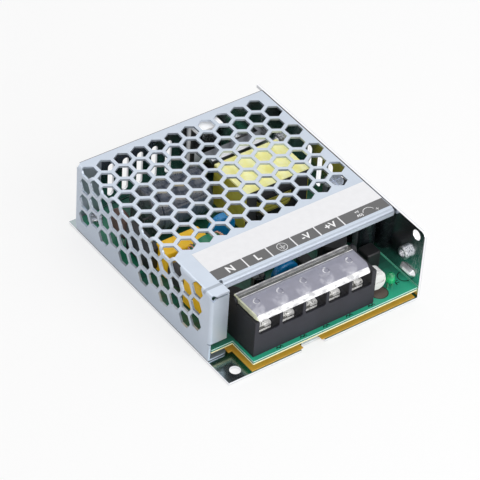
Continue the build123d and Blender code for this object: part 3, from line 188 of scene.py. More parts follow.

# Painted highlights: the cut edges of the sheet glow white, and the pressed lance glows too, most
# on its crest.
wall_edge = rolled.between(rolled.x, wall_inside + 0.1, wall_inside + sheet - 0.1, 0.05)
sheet_edge = wall_edge.most(rolled.between(rolled.z, 0.1, sheet - 0.1, 0.05))
glare = rolled.blend(sheet_edge * 0.6, unlit, white)

lance_y, lance_z = (-47.1, -39.3), (8.0, 11.0)
crest_y, crest_z = (-45.8, -41.6), (9.2, 10.2)
lance = rolled.x.below(wall_inside - 0.03)
lance = lance * rolled.between(rolled.y, *lance_y, 0.1)
lance = lance * rolled.between(rolled.z, *lance_z, 0.1)
crest = rolled.between(rolled.y, *crest_y, 0.4) * rolled.between(rolled.z, *crest_z, 0.2)
crest = lance * crest
glare = rolled.blend(lance * 0.25 + crest * 0.75, glare, white)

# A green painted reflection of the board glows along the inside of the wall at board height.
board_reflection_z = (3.0, 6.1)
board_reflection = rolled.between(rolled.x, wall_inside - 0.1, wall_inside + 0.05, 0.02)
board_reflection = board_reflection * rolled.between(rolled.z, *board_reflection_z, 0.1)
glare = rolled.blend(board_reflection * (1.0 - lance), glare, (0.06, 0.30, 0.20))

# Streaks of painted highlight glow on the inside of the wall in front.
glint_streak_y, glint_streak_z = (-49.5, -44.5), (10.0, 24.0)
glint_streak = rolled.noise(0.5, 3.0, 0.6, (1.0, 5.0, 0.6)).above(0.56)
glint_streak = glint_streak * rolled.between(rolled.y, *glint_streak_y, 0.8)
glint_streak = glint_streak * rolled.between(rolled.z, *glint_streak_z, 3.0)
glint_streak = glint_streak * rolled.x.below(wall_inside + 0.05) * rolled.x.above(wall_inside - 0.05)
glare = rolled.blend(glint_streak * 0.35, glare, (0.60, 0.62, 0.64))
# All that is gathered in glare glows as painted light.
rolled.set(emission_color=glare, emission_strength=0.5)
rolled.on("chassis")

# Four round steel nuts are pressed into the wall and the base. They are plated bright, with
# a turned face round the thread. The small screws inside have the same plating.

plated = Finish("bright_plating", (0.83, 0.84, 0.86), 0.2, 1.0)
turned = plated.noise(1.6, 4.0, 0.7)
spark = plated.climb(turned, 0.40, 0.60)
plated.set(base_color=plated.blend(spark, (0.24, 0.25, 0.27), (0.95, 0.96, 0.98)))
plated.set(roughness=plated.spread(turned, 0.16, 0.44))
plated.bump(turned, 0.12)
plated.on("mounting_nuts", "board_screws", "package_screws")

# An amber polyester film lies on the base under the board. It is die cut and a little
# translucent, and it glows a little as painted light, as if lit in the gap under the board.

amber = Finish("amber_film", (0.50, 0.27, 0.03), 0.32)
haze = amber.noise(0.25, 3.0)
amber.mottle(haze, (0.46, 0.24, 0.02), (0.60, 0.34, 0.05), 0.25, 0.42)
# Painted light: the film glows.
amber.set(emission_color=amber.blend(haze, (0.40, 0.20, 0.02), (0.50, 0.27, 0.04)),
          emission_strength=0.35)
amber.on("insulating_film")

# The board is glass laminate with green solder resist over copper tracks, brightest where
# light reaches it at the front. Its cut edge is dark between two pale rims, and dark marks
# stand beside the terminals, the lamp and the trimmer.


def any_of(masks):
    """1 where one of the masks is 1."""
    joined = masks[0]
    for mask in masks[1:]:
        joined = joined.most(mask)
    return joined


board_under, board_top = 4.2, 5.8
resist = Finish("solder_resist", (0.0, 0.18, 0.10), 0.28, specular_ior_level=0.3,
                coat_weight=0.12, coat_roughness=0.15)
track = resist.node("TexBrick", {"offset": 0.5, "squash": 1.0},
                    {"Vector": resist.place, "Scale": 0.12, "Mortar Size": 0.06,
                     "Mortar Smooth": 0.2, "Bias": 0.0, "Brick Width": 0.9, "Row Height": 0.35},
                    "Fac")
weave = resist.noise(3.0, 2.0)
pour = resist.noise(0.09, 1.0).above(0.52)
copper = (1.0 - track) * 0.6 + pour * 0.3
front_light_y, left_light_x, left_light_front = (-34.0, -44.0), (-27.0, -35.0), 8.0
front_light = resist.climb(resist.y, *front_light_y)
left_light = resist.climb(resist.x, *left_light_x) * resist.y.above(left_light_front)
edge_core = resist.between(resist.z, board_under + 0.1, board_top - 0.08, 0.03)
edge_foot = resist.between(resist.z, board_under - 0.1, board_under + 0.62, 0.05)
edge_foot = edge_foot * resist.z.above(board_under + 0.03)
edge_brow = resist.between(resist.z, board_top - 0.36, board_top - 0.03, 0.04)

tick_places = (-19.3, -9.2, 0.6, 10.5, 20.2)
tick_y, tick_reach, tooth, tooth_slope = -48.5, 1.4, 0.7, 1.1
marks = []
for tick_x in tick_places:
    teeth = (resist.x - tick_x + tick_reach).wrapped(tooth) * tooth_slope
    marks.append(abs(resist.x - tick_x).below(tick_reach)
                 * abs(resist.y - tick_y - teeth).below(0.3))
ring_place, ring_radius = (39.4, -42.3), 2.5
marks.append(abs(resist.from_axis(*ring_place) - ring_radius).below(0.2))
stem_x, stem_y = 34.6, -43.5
marks.append(abs(resist.x - stem_x).below(0.2) * abs(resist.y - stem_y).below(1.1))
bars_x, bars_y = 35.3, -43.2
marks.append(abs(resist.x - bars_x).below(0.8)
             * abs(abs(resist.y - bars_y) - 0.5).below(0.18))
patch_place, patch_radius, patch_rim = (26.6, -44.3), 3.3, 3.2
from_patch = resist.from_axis(*patch_place)
top_face = resist.z.above(board_top - 0.05)

green = resist.blend(copper, (0.0, 0.070, 0.046), (0.0, 0.130, 0.080))
for share, colour in (
        (front_light, (0.0, 0.37, 0.21)),
        (left_light * 0.8, (0.01, 0.30, 0.15)),
        (weave * 0.2, (0.02, 0.24, 0.15)),
        (edge_core, (0.02, 0.20, 0.15)),
        (edge_foot, (0.90, 0.82, 0.50)),
        (edge_brow, (0.62, 0.84, 0.78)),
        (any_of(marks) * top_face, (0.004, 0.008, 0.008)),
        (from_patch.below(patch_radius) * top_face, (0.13, 0.10, 0.085)),
        (abs(from_patch - patch_rim).below(0.18) * top_face, (0.03, 0.025, 0.02))):
    green = resist.blend(share, green, colour)
resist.set(base_color=green, roughness=resist.spread(weave, 0.22, 0.42))
resist.bump(copper * 0.8 + weave * 0.2, 0.03)
resist.on("circuit_board")

# The terminal block is one dark moulding with five pockets, in glass filled plastic. Its
# walls have a fine spark texture with a soft, uneven sheen. Behind its face, above the sill,
# and at its left end it lies in shade.

face_y, sill_z, end_x = -47.1, 15.0, -29.85
moulded = Finish("terminal_moulding", (0.020, 0.020, 0.027), 0.55, specular_ior_level=0.35)
grain = moulded.noise(6.0, 3.0, 0.6)
flow = moulded.noise(0.18, 2.0)
shade = (moulded.y.above(face_y) * moulded.z.above(sill_z)).most(moulded.x.below(end_x))
skin = moulded.blend(flow, (0.014, 0.014, 0.020), (0.030, 0.030, 0.042))
moulded.set(base_color=moulded.blend(shade * 0.75, skin, (0.004, 0.004, 0.005)))
moulded.set(roughness=moulded.spread(grain * 0.5 + flow * 0.5, 0.45, 0.68))
moulded.bump(grain, 0.012)
moulded.on("terminal_block")

# Each way has a brass plate with a pin, a saddle clamp and a pan head screw, all nickel
# plated. Dark seams part the folds of the clamp. Painted highlights lighten and glow on the
# clamps and the screws, most on the front halves of the screws.

ways, first_way, way_pitch = 5, -23.83, 9.8
clamp_low, clamp_high = (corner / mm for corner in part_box("terminal_clamps"))
clamp_middle = (clamp_low.z + clamp_high.z) / 2
clamp_fold = 1.2
seam_aside, seam_half, upright_seam_half = 0.7, 0.22, 0.18
nickel = Finish("nickel_plating", (0.94, 0.93, 0.90), 0.3, 0.35)
satin = nickel.noise(0.9, 2.0)
aside = (nickel.x - first_way).wrapped(way_pitch / 2)
upright_seams = abs(aside - seam_aside).below(upright_seam_half) * nickel.z.above(clamp_middle)
seams = abs(nickel.z - clamp_middle).below(seam_half).most(upright_seams)
seams = seams * nickel.y.below(clamp_low.y + clamp_fold)
# Painted highlight: the shine lightens the plating and makes it glow.
shine = nickel.climb(satin - seams * 0.3, 0.30, 0.44)
nickel.set(base_color=nickel.blend(shine, (0.20, 0.20, 0.19), (1.0, 0.99, 0.97)))
nickel.set(emission_color=nickel.blend(shine, unlit, (1.0, 1.0, 0.98)), emission_strength=0.26)
nickel.set(roughness=nickel.spread(satin, 0.24, 0.42))
nickel.bump(satin, 0.02)
nickel.on("terminal_plates", "terminal_clamps", "transformer_pins")

screw_low, screw_high = (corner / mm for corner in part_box("terminal_screws"))
screw_middle = (screw_low.y + screw_high.y) / 2
glinting_screw = Finish("screw_nickel", (0.80, 0.80, 0.78), 0.35, 0.5)
satin = glinting_screw.noise(0.8, 3.0)
# Painted highlight: the front halves of the screws are painted lighter than their rear halves, and
# the light part glows.
shine = glinting_screw.climb(satin - (glinting_screw.y - screw_middle) * 0.06, 0.46, 0.56)
glinting_screw.set(base_color=glinting_screw.blend(shine, (0.16, 0.16, 0.17), (1.0, 1.0, 0.98)))
glinting_screw.set(emission_color=glinting_screw.blend(shine, unlit, white), emission_strength=0.22)
glinting_screw.set(roughness=glinting_screw.spread(satin, 0.26, 0.46))
glinting_screw.bump(satin, 0.03)
glinting_screw.on("terminal_screws")

# The lid is clear polycarbonate, moulded as a shallow tray with a dimple over each screw. It
# pivots on two stubs at its rear edge. The bevel in front, the edges of the rear strip and the
# left halves of the dimples' rims carry painted highlights: whiter, more opaque and faintly
# glowing, with glints in them.

bevel_y, strip_front, strip_back, lid_back = -46.1, -35.9, -33.6, -33.0
strip_lip = 0.3
rim_x = -28.3
dimple_y, dimple_radius = -39.8, 1.3
clear = Finish("clear_lid", (0.60, 0.60, 0.70), 0.08, ior=1.45, coat_weight=0.6,
               coat_roughness=0.04)
edge = clear.node("LayerWeight", {}, {"Blend": 0.35}, "Facing")
smear = clear.noise(0.35, 2.0)
glint = clear.climb(clear.noise(0.7, 3.0, 0.6, (0.5, 1.0, 1.0)), 0.38, 0.56)
dimples = []
for way in range(ways):
    way_x = first_way + way_pitch * way
    dimple_rim = abs(clear.from_axis(way_x, dimple_y) - dimple_radius).below(0.2)
    dimples.append(dimple_rim * (clear.x - way_x).below(0.2))
rear_strip = clear.between(clear.y, strip_front, strip_back, 0.08)
left_rim = 1.0 - clear.between(clear.x, rim_x, wall_inside, 0.08)
# Painted highlights on the bevel, the edges of the rear strip and the left halves of the dimples'
# rims.
bright = any_of([
    clear.between(clear.y, strip_front - strip_lip, strip_front, 0.08),
    clear.between(clear.y, strip_back, lid_back, 0.08),
    1.0 - clear.between(clear.y, bevel_y, 0.0, 0.15),
    any_of(dimples) * 0.7,
])
glinting_white = clear.blend(glint, (0.50, 0.50, 0.52), (0.92, 0.92, 0.92))
tint = clear.blend(bright, (0.46, 0.46, 0.56), glinting_white)
tint = clear.blend(rear_strip, tint, (0.26, 0.26, 0.25))
opacity = 0.36 + smear * 0.14 + edge * 0.2 - rear_strip * 0.06
opacity = opacity + bright * (0.34 + glint * 0.2) + left_rim * 0.2
clear.set(base_color=clear.blend(left_rim, tint, (0.72, 0.74, 0.50)))
clear.set(alpha=opacity.least(0.97), roughness=clear.spread(smear, 0.05, 0.14))
clear.set(emission_color=clear.blend(bright, unlit, white), emission_strength=0.05)
clear.on("terminal_lid")

# The trimmer sets the output voltage: a white housing with a slotted white dial, both
# moulded in nylon and slightly glossy.

nylon = Finish("white_nylon", (0.80, 0.80, 0.78), 0.38)
bloom = nylon.noise(0.8, 3.0)
nylon.mottle(bloom, (0.72, 0.72, 0.71), (0.84, 0.84, 0.83), 0.30, 0.46)
nylon.bump(bloom, 0.01)
nylon.on("trimmer_body", "trimmer_rotor")

# The pilot lamp is a 3 mm lamp in green tinted epoxy, with a rim at its foot. It stands on
# two tinned leads, tinted green as a painted reflection of the epoxy. A band of the epoxy
# just above the rim is painted lighter, and the whole lamp glows faintly, as painted light.


def tin_leads(finish, leads, skin, tin=(0.75, 0.75, 0.74)):
    """Colours a part, and tins its leads where their mask is 1."""
    finish.set(base_color=finish.blend(leads, skin, tin), metallic=leads * 0.9)


lamp_foot = 8.8
lamp = Finish("green_epoxy", (0.02, 0.42, 0.10), 0.12, coat_weight=0.3, coat_roughness=0.03)
leads = lamp.z.below(lamp_foot)
# Painted light: a lighter, glowing band above the rim.
glow = lamp.between(lamp.z, lamp_foot + 0.6, lamp_foot + 2.4, 0.8)
tint = lamp.blend(glow, (0.0, 0.22, 0.08), (0.02, 0.42, 0.17))
tin_leads(lamp, leads, tint, (0.42, 0.66, 0.50))
lift = lamp.blend(glow, (0.0, 0.04, 0.01), (0.01, 0.26, 0.05))
lamp.set(emission_color=lamp.blend(leads, lift, unlit), emission_strength=0.38)
lamp.set(roughness=lamp.spread(lamp.noise(1.0), 0.08, 0.18))
lamp.on("indicator_led")

# The film capacitors are foil windings potted in moulded boxes, in a warm yellow plastic
# with a slight gloss. They stand just clear of the board on tinned leads.

box_foot = board_top + 0.78
box_yellow = Finish("capacitor_box", (0.78, 0.42, 0.04), 0.35)
cast = box_yellow.noise(0.3, 3.0)
leads = box_yellow.z.below(box_foot)
tin_leads(box_yellow, leads, box_yellow.blend(cast, (0.88, 0.50, 0.01), (0.98, 0.62, 0.03)))
box_yellow.set(roughness=box_yellow.spread(cast, 0.28, 0.44))
# Painted light: the boxes glow a little, so they stay bright under the cover.
box_yellow.set(emission_color=box_yellow.blend(leads, (0.90, 0.52, 0.01), unlit),
               emission_strength=0.14)
box_yellow.bump(box_yellow.noise(4.0, 2.0), 0.008)
box_yellow.on("input_film_capacitor", "filter_film_capacitor")

# The choke is a green coated ring with two windings of enamelled copper wire, one on each
# half. It stands on edge in a black seat.

coated = Finish("green_coating", (0.0, 0.25, 0.12), 0.3)
coated.mottle(coated.noise(1.2, 2.0), (0.0, 0.18, 0.08), (0.01, 0.30, 0.15), 0.24, 0.40)
coated.on("choke_core")
enamel = Finish("enamelled_copper", (0.72, 0.38, 0.26), 0.25, 0.7)
enamel.mottle(enamel.noise(1.8, 2.0), (0.60, 0.28, 0.18), (0.86, 0.52, 0.38), 0.18, 0.34)
enamel.on("choke_windings")

ring_low, ring_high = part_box("choke_core")
ring_centre = (ring_low + ring_high) / 2
ring_outer = (ring_high.x - ring_low.x) / 2
ring_inner = 4.4 * mm
ring_half_width = (ring_high.y - ring_low.y) / 2
wire = 0.33 * mm
wire_gap = 0.12 * mm
wire_corner = 0.7 * mm
turns_each = 13
winding_reach = math.radians(54.0)


def turn(spline, angle):
    """One closed turn of wire round the ring's section at an angle."""
    away = wire + wire_gap
    inner, outer, side = ring_inner - away, ring_outer + away, ring_half_width + away
    inner_turned, outer_turned, side_turned = (
        inner + wire_corner, outer - wire_corner, side - wire_corner)
    outline = [(inner, -side_turned), (inner_turned, -side), (outer_turned, -side),
               (outer, -side_turned), (outer, side_turned), (outer_turned, side),
               (inner_turned, side), (inner, side_turned)]
    spline.points.add(len(outline) - 1)
    for point, (radius, across) in zip(spline.points, outline):
        spoke = Vector((radius * math.cos(angle), across, radius * math.sin(angle)))
        point.co = (*(ring_centre + spoke), 1.0)
    spline.use_cyclic_u = True


def show(name, data):
    """Puts a mesh, curve, light or camera in the scene under a name."""
    shown = bpy.data.objects.new(name, data)
    bpy.context.scene.collection.objects.link(shown)
    return shown


winding_curve = bpy.data.curves.new("choke_wire", "CURVE")
winding_curve.dimensions = "3D"
winding_curve.bevel_depth = wire
winding_curve.bevel_resolution = 2
for side_angle in (0.0, math.pi):
    for i in range(turns_each):
        share = i / (turns_each - 1) * 2 - 1
        turn(winding_curve.splines.new("POLY"), side_angle + share * winding_reach)
winding_curve.materials.append(enamel.material)
choke_wire = show("choke_wire", winding_curve)
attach(choke_wire, "housing")
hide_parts("choke_windings")

# Ferrite is a sintered black ceramic with a dull grey sheen. The transformer core and the
# drum of the output inductor are made of it.

ferrite = Finish("sintered_ferrite", (0.045, 0.045, 0.048), 0.5)
pores = ferrite.noise(5.0, 3.0, 0.7)
ferrite.mottle(pores, (0.030, 0.030, 0.032), (0.075, 0.075, 0.080), 0.38, 0.62)
ferrite.bump(pores, 0.01)
ferrite.on("transformer_core", "inductor_core")

# The bobbin, the choke seat, the bridge, the power packages, the fuse, the moulded choke and
# the chips are moulded in black epoxy or nylon, matt from the mould.

black = Finish("black_moulding", (0.022, 0.022, 0.024), 0.45)
mould = black.noise(3.0, 3.0, 0.6)
black.mottle(mould, (0.010, 0.010, 0.012), (0.026, 0.026, 0.028), 0.34, 0.58)
black.bump(mould, 0.01)
black.on("transformer_bobbin", "choke_base", "bridge_rectifier", "switching_transistor",
         "output_rectifier", "controller_chip", "optocoupler", "fuse", "moulded_choke")

# The transformer's coil and core are wrapped in yellow polyester tape. Over the core's flat
# top it is a pale bright yellow that glows a little, as painted light. Down the side and over
# the wire it is painted olive, as painted shade, and on the coil the troughs between its
# turns are painted dark, as painted shade.

tape_top = 25.2
lap_y = 14.0
tape = Finish("yellow_tape", (0.95, 0.91, 0.45), 0.3)
wrinkle = tape.noise(0.35, 3.0, 0.55, (1.0, 0.4, 1.0))
lap = tape.between(tape.y, lap_y - 0.1, lap_y + 0.1, 0.05)
# Painted light: the level top is painted pale and glows, and the sides below it are painted olive
# as shade.
level_top = tape.z.above(tape_top)
fade = tape.climb(wrinkle, 0.35, 0.65)
over_core = tape.blend(fade * 0.7 + lap * 0.3, (1.0, 1.0, 0.60), (0.80, 0.72, 0.17))
shaded_side = tape.blend(fade, (0.44, 0.40, 0.05), (0.68, 0.63, 0.11))
tape.set(base_color=tape.blend(level_top, shaded_side, over_core))
tape.set(emission_color=tape.blend(level_top, (0.20, 0.18, 0.02), (1.0, 0.93, 0.25)),
         emission_strength=0.16)
tape.set(roughness=tape.spread(wrinkle, 0.22, 0.40))
tape.bump(wrinkle, 0.08)
tape.on("transformer_tape")

tape_lap = 0.8
# The coil's yellow tape is painted olive, as painted shade, with painted shade in the troughs
# between its laps.
coil_tape = Finish("coil_tape", (0.50, 0.45, 0.08), 0.3)
crinkle = coil_tape.noise(0.5, 2.0)
ridge = coil_tape.z.wrapped(tape_lap) * 1.2 + crinkle * 0.5
ridge_lit = coil_tape.climb(ridge, 0.25, 0.55)
coil_tape.set(base_color=coil_tape.blend(ridge_lit, (0.10, 0.09, 0.015), (0.62, 0.56, 0.10)))
coil_tape.set(roughness=coil_tape.spread(crinkle, 0.24, 0.44))
coil_tape.bump(ridge, 0.06)
coil_tape.on("transformer_coil")

# The upright capacitors are aluminium cans under a shrunk sleeve. The sleeve is dark, with a
# paler stripe on the negative side. It leaves the top of the can bare, except on the
# smallest one, where it closes over the top.

can_rim, stripe_share = 0.55, 0.35
output_can_x, output_can_radius, output_can_top = 35.4, 4.0, 24.2
cans = [(output_can_x, y, output_can_radius, output_can_top) for y in (-4.2, -13.6, -23.0)]
cans += [(-10.0, -22.2, 2.5, None), (17.0, -8.4, 3.15, 16.8)]
sleeve = Finish("capacitor_sleeve", (0.02, 0.05, 0.06), 0.25, coat_weight=0.2,
                coat_roughness=0.1)
tops = []
stripes = []
for can_x, can_y, radius, top in cans:
    away = sleeve.from_axis(can_x, can_y)
    if top is not None:
        tops.append(away.below(radius - can_rim) * sleeve.z.above(top - 0.5))
    stripe = abs(sleeve.y - can_y).below(radius * stripe_share) * sleeve.x.below(can_x)
    stripes.append(away.below(radius + 0.5) * stripe)
bare = any_of(tops)
skin = sleeve.blend(any_of(stripes), (0.012, 0.016, 0.019), (0.16, 0.18, 0.19))
sleeve.set(base_color=sleeve.blend(bare, skin, (0.74, 0.77, 0.84)), metallic=bare * 0.9)
# Painted light: the bare tops glow a faint blue.
sleeve.set(emission_color=sleeve.blend(bare, unlit, (0.20, 0.23, 0.31)), emission_strength=0.5)
sleeve.set(roughness=sleeve.spread(sleeve.noise(0.8), 0.18, 0.34))
sleeve.on("output_capacitors", "small_capacitors")

# The large input capacitor lies on its side in a glossy slate sleeve, creased along its
# length, with a paler blue band low on its front side, painted there as a painted
# reflection. Its ends are dark.

sheen_foot, sheen_head, band_back = 11.0, 18.0, 26.6
can_left, can_right = -24.9, -0.7
slate = Finish("slate_sleeve", (0.05, 0.07, 0.10), 0.25, coat_weight=0.5, coat_roughness=0.1)
crease = slate.noise(0.3, 3.0, 0.5, (3.0, 1.0, 1.0))
# Painted reflection: a paler blue band low on the front of the sleeve.
sheen_band = slate.between(slate.z, sheen_foot, sheen_head, 1.2) * slate.y.below(band_back)
ends = slate.x.below(can_left) + slate.x.above(can_right)
skin = slate.blend(crease, (0.016, 0.021, 0.034), (0.060, 0.080, 0.125))
skin = slate.blend(sheen_band * (0.25 + crease * 0.45), skin, (0.22, 0.30, 0.42))
slate.set(base_color=slate.blend(ends, skin, (0.10, 0.10, 0.11)))
slate.set(roughness=slate.spread(crease, 0.18, 0.36))
slate.bump(crease, 0.05)
slate.on("bulk_capacitor")

# The output inductor's winding is held by a black shrunk sleeve between the flanges of its
# drum, with soft upright folds.

shrunk = Finish("black_sleeve", (0.02, 0.02, 0.022), 0.35)
fold = shrunk.noise(0.6, 3.0, 0.5, (1.0, 1.0, 0.3))
shrunk.mottle(fold, (0.014, 0.014, 0.016), (0.040, 0.040, 0.044), 0.26, 0.44)
shrunk.bump(fold, 0.05)
shrunk.on("inductor_winding")

# The safety capacitors are dipped in glossy blue epoxy, the thermistor in a dark brown
# silicone lacquer, and the varistor in a black one. The coat runs down to their leads.

dip_foot = board_top + 2.4


def dip(node, name, plain, pattern, first, second, smooth, rough, **coat):
    """A part dipped in lacquer down to its tinned leads."""
    finish = Finish(name, *plain, **coat)
    crust = finish.noise(*pattern)
    tin_leads(finish, finish.z.below(dip_foot), finish.blend(crust, first, second))
    finish.set(roughness=finish.spread(crust, smooth, rough))
    finish.bump(crust, 0.05)
    finish.on(node)


dip("disc_capacitors", "blue_epoxy", ((0.0, 0.13, 0.42), 0.25), (0.5, 2.0),
    (0.0, 0.20, 0.52), (0.01, 0.33, 0.76), 0.2, 0.36, coat_weight=0.4, coat_roughness=0.1)
dip("thermistor", "brown_lacquer", ((0.10, 0.055, 0.04), 0.45), (1.0, 3.0),
    (0.07, 0.035, 0.028), (0.14, 0.08, 0.06), 0.36, 0.6)
dip("varistor", "black_lacquer", ((0.03, 0.03, 0.03), 0.4), (1.0, 3.0),
    (0.018, 0.018, 0.020), (0.045, 0.045, 0.048), 0.30, 0.52)

# A white silicone pad insulates the transistor from the back wall and folds over its top. It
# is matt, with a little dust on it, and it glows a little as painted light.

silicone = Finish("white_pad", (0.80, 0.80, 0.80), 0.55)
dust_and_glow = silicone.noise(1.0, 3.0)
silicone.mottle(dust_and_glow, (0.84, 0.84, 0.85), (0.94, 0.94, 0.94), 0.45, 0.65)
# Painted light: the pad glows, in the same pattern as its dust.
silicone.set(emission_color=silicone.blend(dust_and_glow, (0.8, 0.8, 0.8), white), emission_strength=0.18)
silicone.on("transistor_pad")

# The heatsink is plain aluminium strip, sheared and bent, a little brighter than the case.
# Its flange lies under the cover, in shade at the rear.

sink_low, sink_high = (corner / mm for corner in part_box("output_heatsink"))
shade_depth, flange_depth = 2.4, 1.5
strip = Finish("plain_strip", (0.84, 0.85, 0.87), 0.3, 1.0)
shear = strip.noise(1.0, 3.0, 0.6, (0.4, 1.0, 6.0))
shaded = strip.y.above(sink_low.y + shade_depth) * strip.z.above(sink_high.z - flange_depth)
skin = strip.blend(shear, (0.74, 0.75, 0.78), (0.90, 0.91, 0.93))
strip.set(base_color=strip.blend(shaded * 0.85, skin, (0.10, 0.11, 0.13)))
strip.set(roughness=strip.spread(shear, 0.22, 0.40))
strip.bump(shear, 0.006)
strip.on("output_heatsink")

# Resistors are lacquered pale blue with colour rings, diodes are black with a grey ring.
# Both lie across the board on one tinned wire.

resistor_places = ((3.0, -29.6), (9.8, -4.0), (26.05, -14.0), (26.05, -3.4))
rings = ((-2.0, (0.30, 0.05, 0.02)), (-1.0, (0.02, 0.02, 0.02)), (0.0, (0.55, 0.20, 0.02)),
         (2.0, (0.45, 0.30, 0.04)))
half_width, half_body, half_wire, half_ring = 1.6, 3.32, 5.6, 0.28
lacquer = Finish("resistor_lacquer", (0.25, 0.42, 0.58), 0.35)
flow = lacquer.noise(1.0, 2.0)
skin = lacquer.blend(flow, (0.20, 0.36, 0.50), (0.30, 0.48, 0.64))
leads = []
for part_x, part_y in resistor_places:
    along = lacquer.x - part_x
    own = abs(lacquer.y - part_y).below(half_width) * abs(along).below(half_wire)
    leads.append(own * abs(along).above(half_body))
    for ring_x, colour in rings:
        skin = lacquer.blend(own * abs(along - ring_x).below(half_ring), skin, colour)
tin_leads(lacquer, any_of(leads), skin)
lacquer.set(roughness=lacquer.spread(flow, 0.28, 0.42))
lacquer.on("resistors")

diode_places = ((12.6, -29.4), (-12.0, 12.75))
half_width, half_body, ring_x, half_ring = 2.0, 2.72, 1.7, 0.4
epoxy = Finish("diode_epoxy", (0.02, 0.02, 0.02), 0.35)
skin = epoxy.blend(epoxy.noise(1.5), (0.014, 0.014, 0.014), (0.035, 0.035, 0.035))
leads = []
for part_x, part_y in diode_places:
    along = epoxy.x - part_x
    own = abs(epoxy.y - part_y).below(half_width)
    leads.append(own * abs(along).above(half_body))
    skin = epoxy.blend(own * abs(along - ring_x).below(half_ring), skin, (0.5, 0.5, 0.5))
tin_leads(epoxy, any_of(leads), skin)
epoxy.set(roughness=epoxy.spread(epoxy.noise(1.0), 0.28, 0.45))
epoxy.on("diodes")

# The cover is one sheet of zinc plated steel, punched flat with hexagons, then folded down
# the side and over the lip. The plating is even and faintly blue. The lip's bend is painted
# darker as painted shade, and the sheared edges are darker. Its two screws are blackened.

bend_front, bend_back, bend_foot = -33.2, -32.0, 28.7
edge_depth, top_depth, foot_depth = 0.22, 0.85, 0.3
cover_low, cover_high = (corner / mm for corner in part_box("cover"))
zinc = Finish("zinc_plated_steel", (0.66, 0.70, 0.78), 0.34, 0.65)
spangle = zinc.noise(0.12, 3.0)
brushed = zinc.noise(1.0, 3.0, 0.6, (0.3, 6.0, 6.0))
# Painted shade in the lip's bend.
painted_bend_shade = zinc.between(zinc.y, bend_front, bend_back, 0.2) * zinc.z.above(bend_foot)
sheared = any_of([
    zinc.x.above(cover_high.x - edge_depth),
    zinc.y.above(cover_high.y - edge_depth) * zinc.z.above(cover_high.z - top_depth),
    zinc.z.below(cover_low.z + foot_depth),
])
skin = zinc.blend(spangle * 0.5 + brushed * 0.4, (0.505, 0.565, 0.650), (0.630, 0.690, 0.780))
skin = zinc.blend(painted_bend_shade, skin, (0.36, 0.40, 0.46))
zinc.set(base_color=zinc.blend(sheared, skin, (0.10, 0.09, 0.10)))
zinc.set(roughness=zinc.spread(brushed * 0.5 + spangle * 0.5, 0.28, 0.44))
zinc.bump(brushed, 0.003)
zinc.on("cover")
blackened = Finish("black_zinc", (0.06, 0.06, 0.07), 0.35, 0.8)
wear = blackened.noise(1.5, 2.0)
blackened.mottle(wear, (0.04, 0.04, 0.05), (0.11, 0.11, 0.12), 0.28, 0.44)
blackened.on("cover_screws")

# A printed polyester label names the terminals: pale above, with a grey band in front that
# has one cell for each way and a wider one for the trimmer. The white print stands on the
# thinned film, inside the label's own thickness.

label_low, label_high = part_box("terminal_label")
band_back = -25.8
cell_edges, half_line = (-21.1, -11.0, -0.7, 9.5, 19.8), 0.26
printed = Finish("printed_film", (0.80, 0.80, 0.82), 0.42)
paper = printed.noise(0.4, 3.0)
pale = printed.blend(paper, (0.78, 0.78, 0.80), (0.86, 0.86, 0.88))
grey = printed.blend(paper, (0.100, 0.100, 0.102), (0.120, 0.120, 0.123))
in_cell = printed.y.below(band_back)
for cell_edge in cell_edges:
    in_cell = in_cell * abs(printed.x - cell_edge).above(half_line)
printed.set(base_color=printed.blend(in_cell, pale, grey))
printed.set(roughness=printed.spread(paper, 0.36, 0.50))

film_thickness = 0.05 * mm
film_top = label_low.z + film_thickness
film_corners = [(label_low.x, label_low.y), (label_high.x, label_low.y),
                (label_high.x, label_high.y), (label_low.x, label_high.y)]
film_mesh = bpy.data.meshes.new("label_film")
film_mesh.from_pydata(
    [(x, y, z) for z in (label_low.z, film_top) for x, y in film_corners], [],
    [(3, 2, 1, 0), (4, 5, 6, 7)]
    + [(i, (i + 1) % 4, (i + 1) % 4 + 4, i + 4) for i in range(4)])
film_mesh.materials.append(printed.material)
label_film = show("label_film", film_mesh)
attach(label_film, "housing")
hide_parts("terminal_label")

ink = Finish("white_print", (0.84, 0.84, 0.85), 0.45)
ink.set(roughness=ink.spread(ink.noise(1.0), 0.38, 0.52))
ink.set(base_color=ink.blend(ink.noise(0.8), (0.84, 0.84, 0.85), (0.92, 0.92, 0.93)))
letter_depth, letter_rise, line_rise = 0.01 * mm, 0.02 * mm, 0.03 * mm


def print_sign(name, data, place=(0.0, 0.0, 0.0)):
    """White print on the label, at a place in metres."""
    data.materials.append(ink.material)
    sign = show(name, data)
    sign.location = place
    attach(sign, "housing")


band_middle = (label_low.y / mm + band_back) / 2 - 0.15
adjust_x = 27.2
words = (("N", -27.2, 0.0, 4.1), ("L", -15.9, 0.0, 4.1), ("-V", 4.5, 0.0, 3.9),
         ("+V", 15.1, 0.0, 3.9), ("+V", adjust_x, 0.95, 1.5), ("ADJ", adjust_x, -0.95, 1.5))
for number, (word, word_x, rise, size) in enumerate(words):
    letters = bpy.data.curves.new(f"terminal_name_{number}", "FONT")
    letters.body = word
    letters.size = size * mm
    letters.offset = size * 0.03 * mm
    letters.align_x = "CENTER"
    letters.align_y = "CENTER"
    letters.extrude = letter_depth
    print_sign(f"terminal_name_{number}", letters,
               (word_x * mm, (band_middle + rise) * mm, film_top + letter_rise))


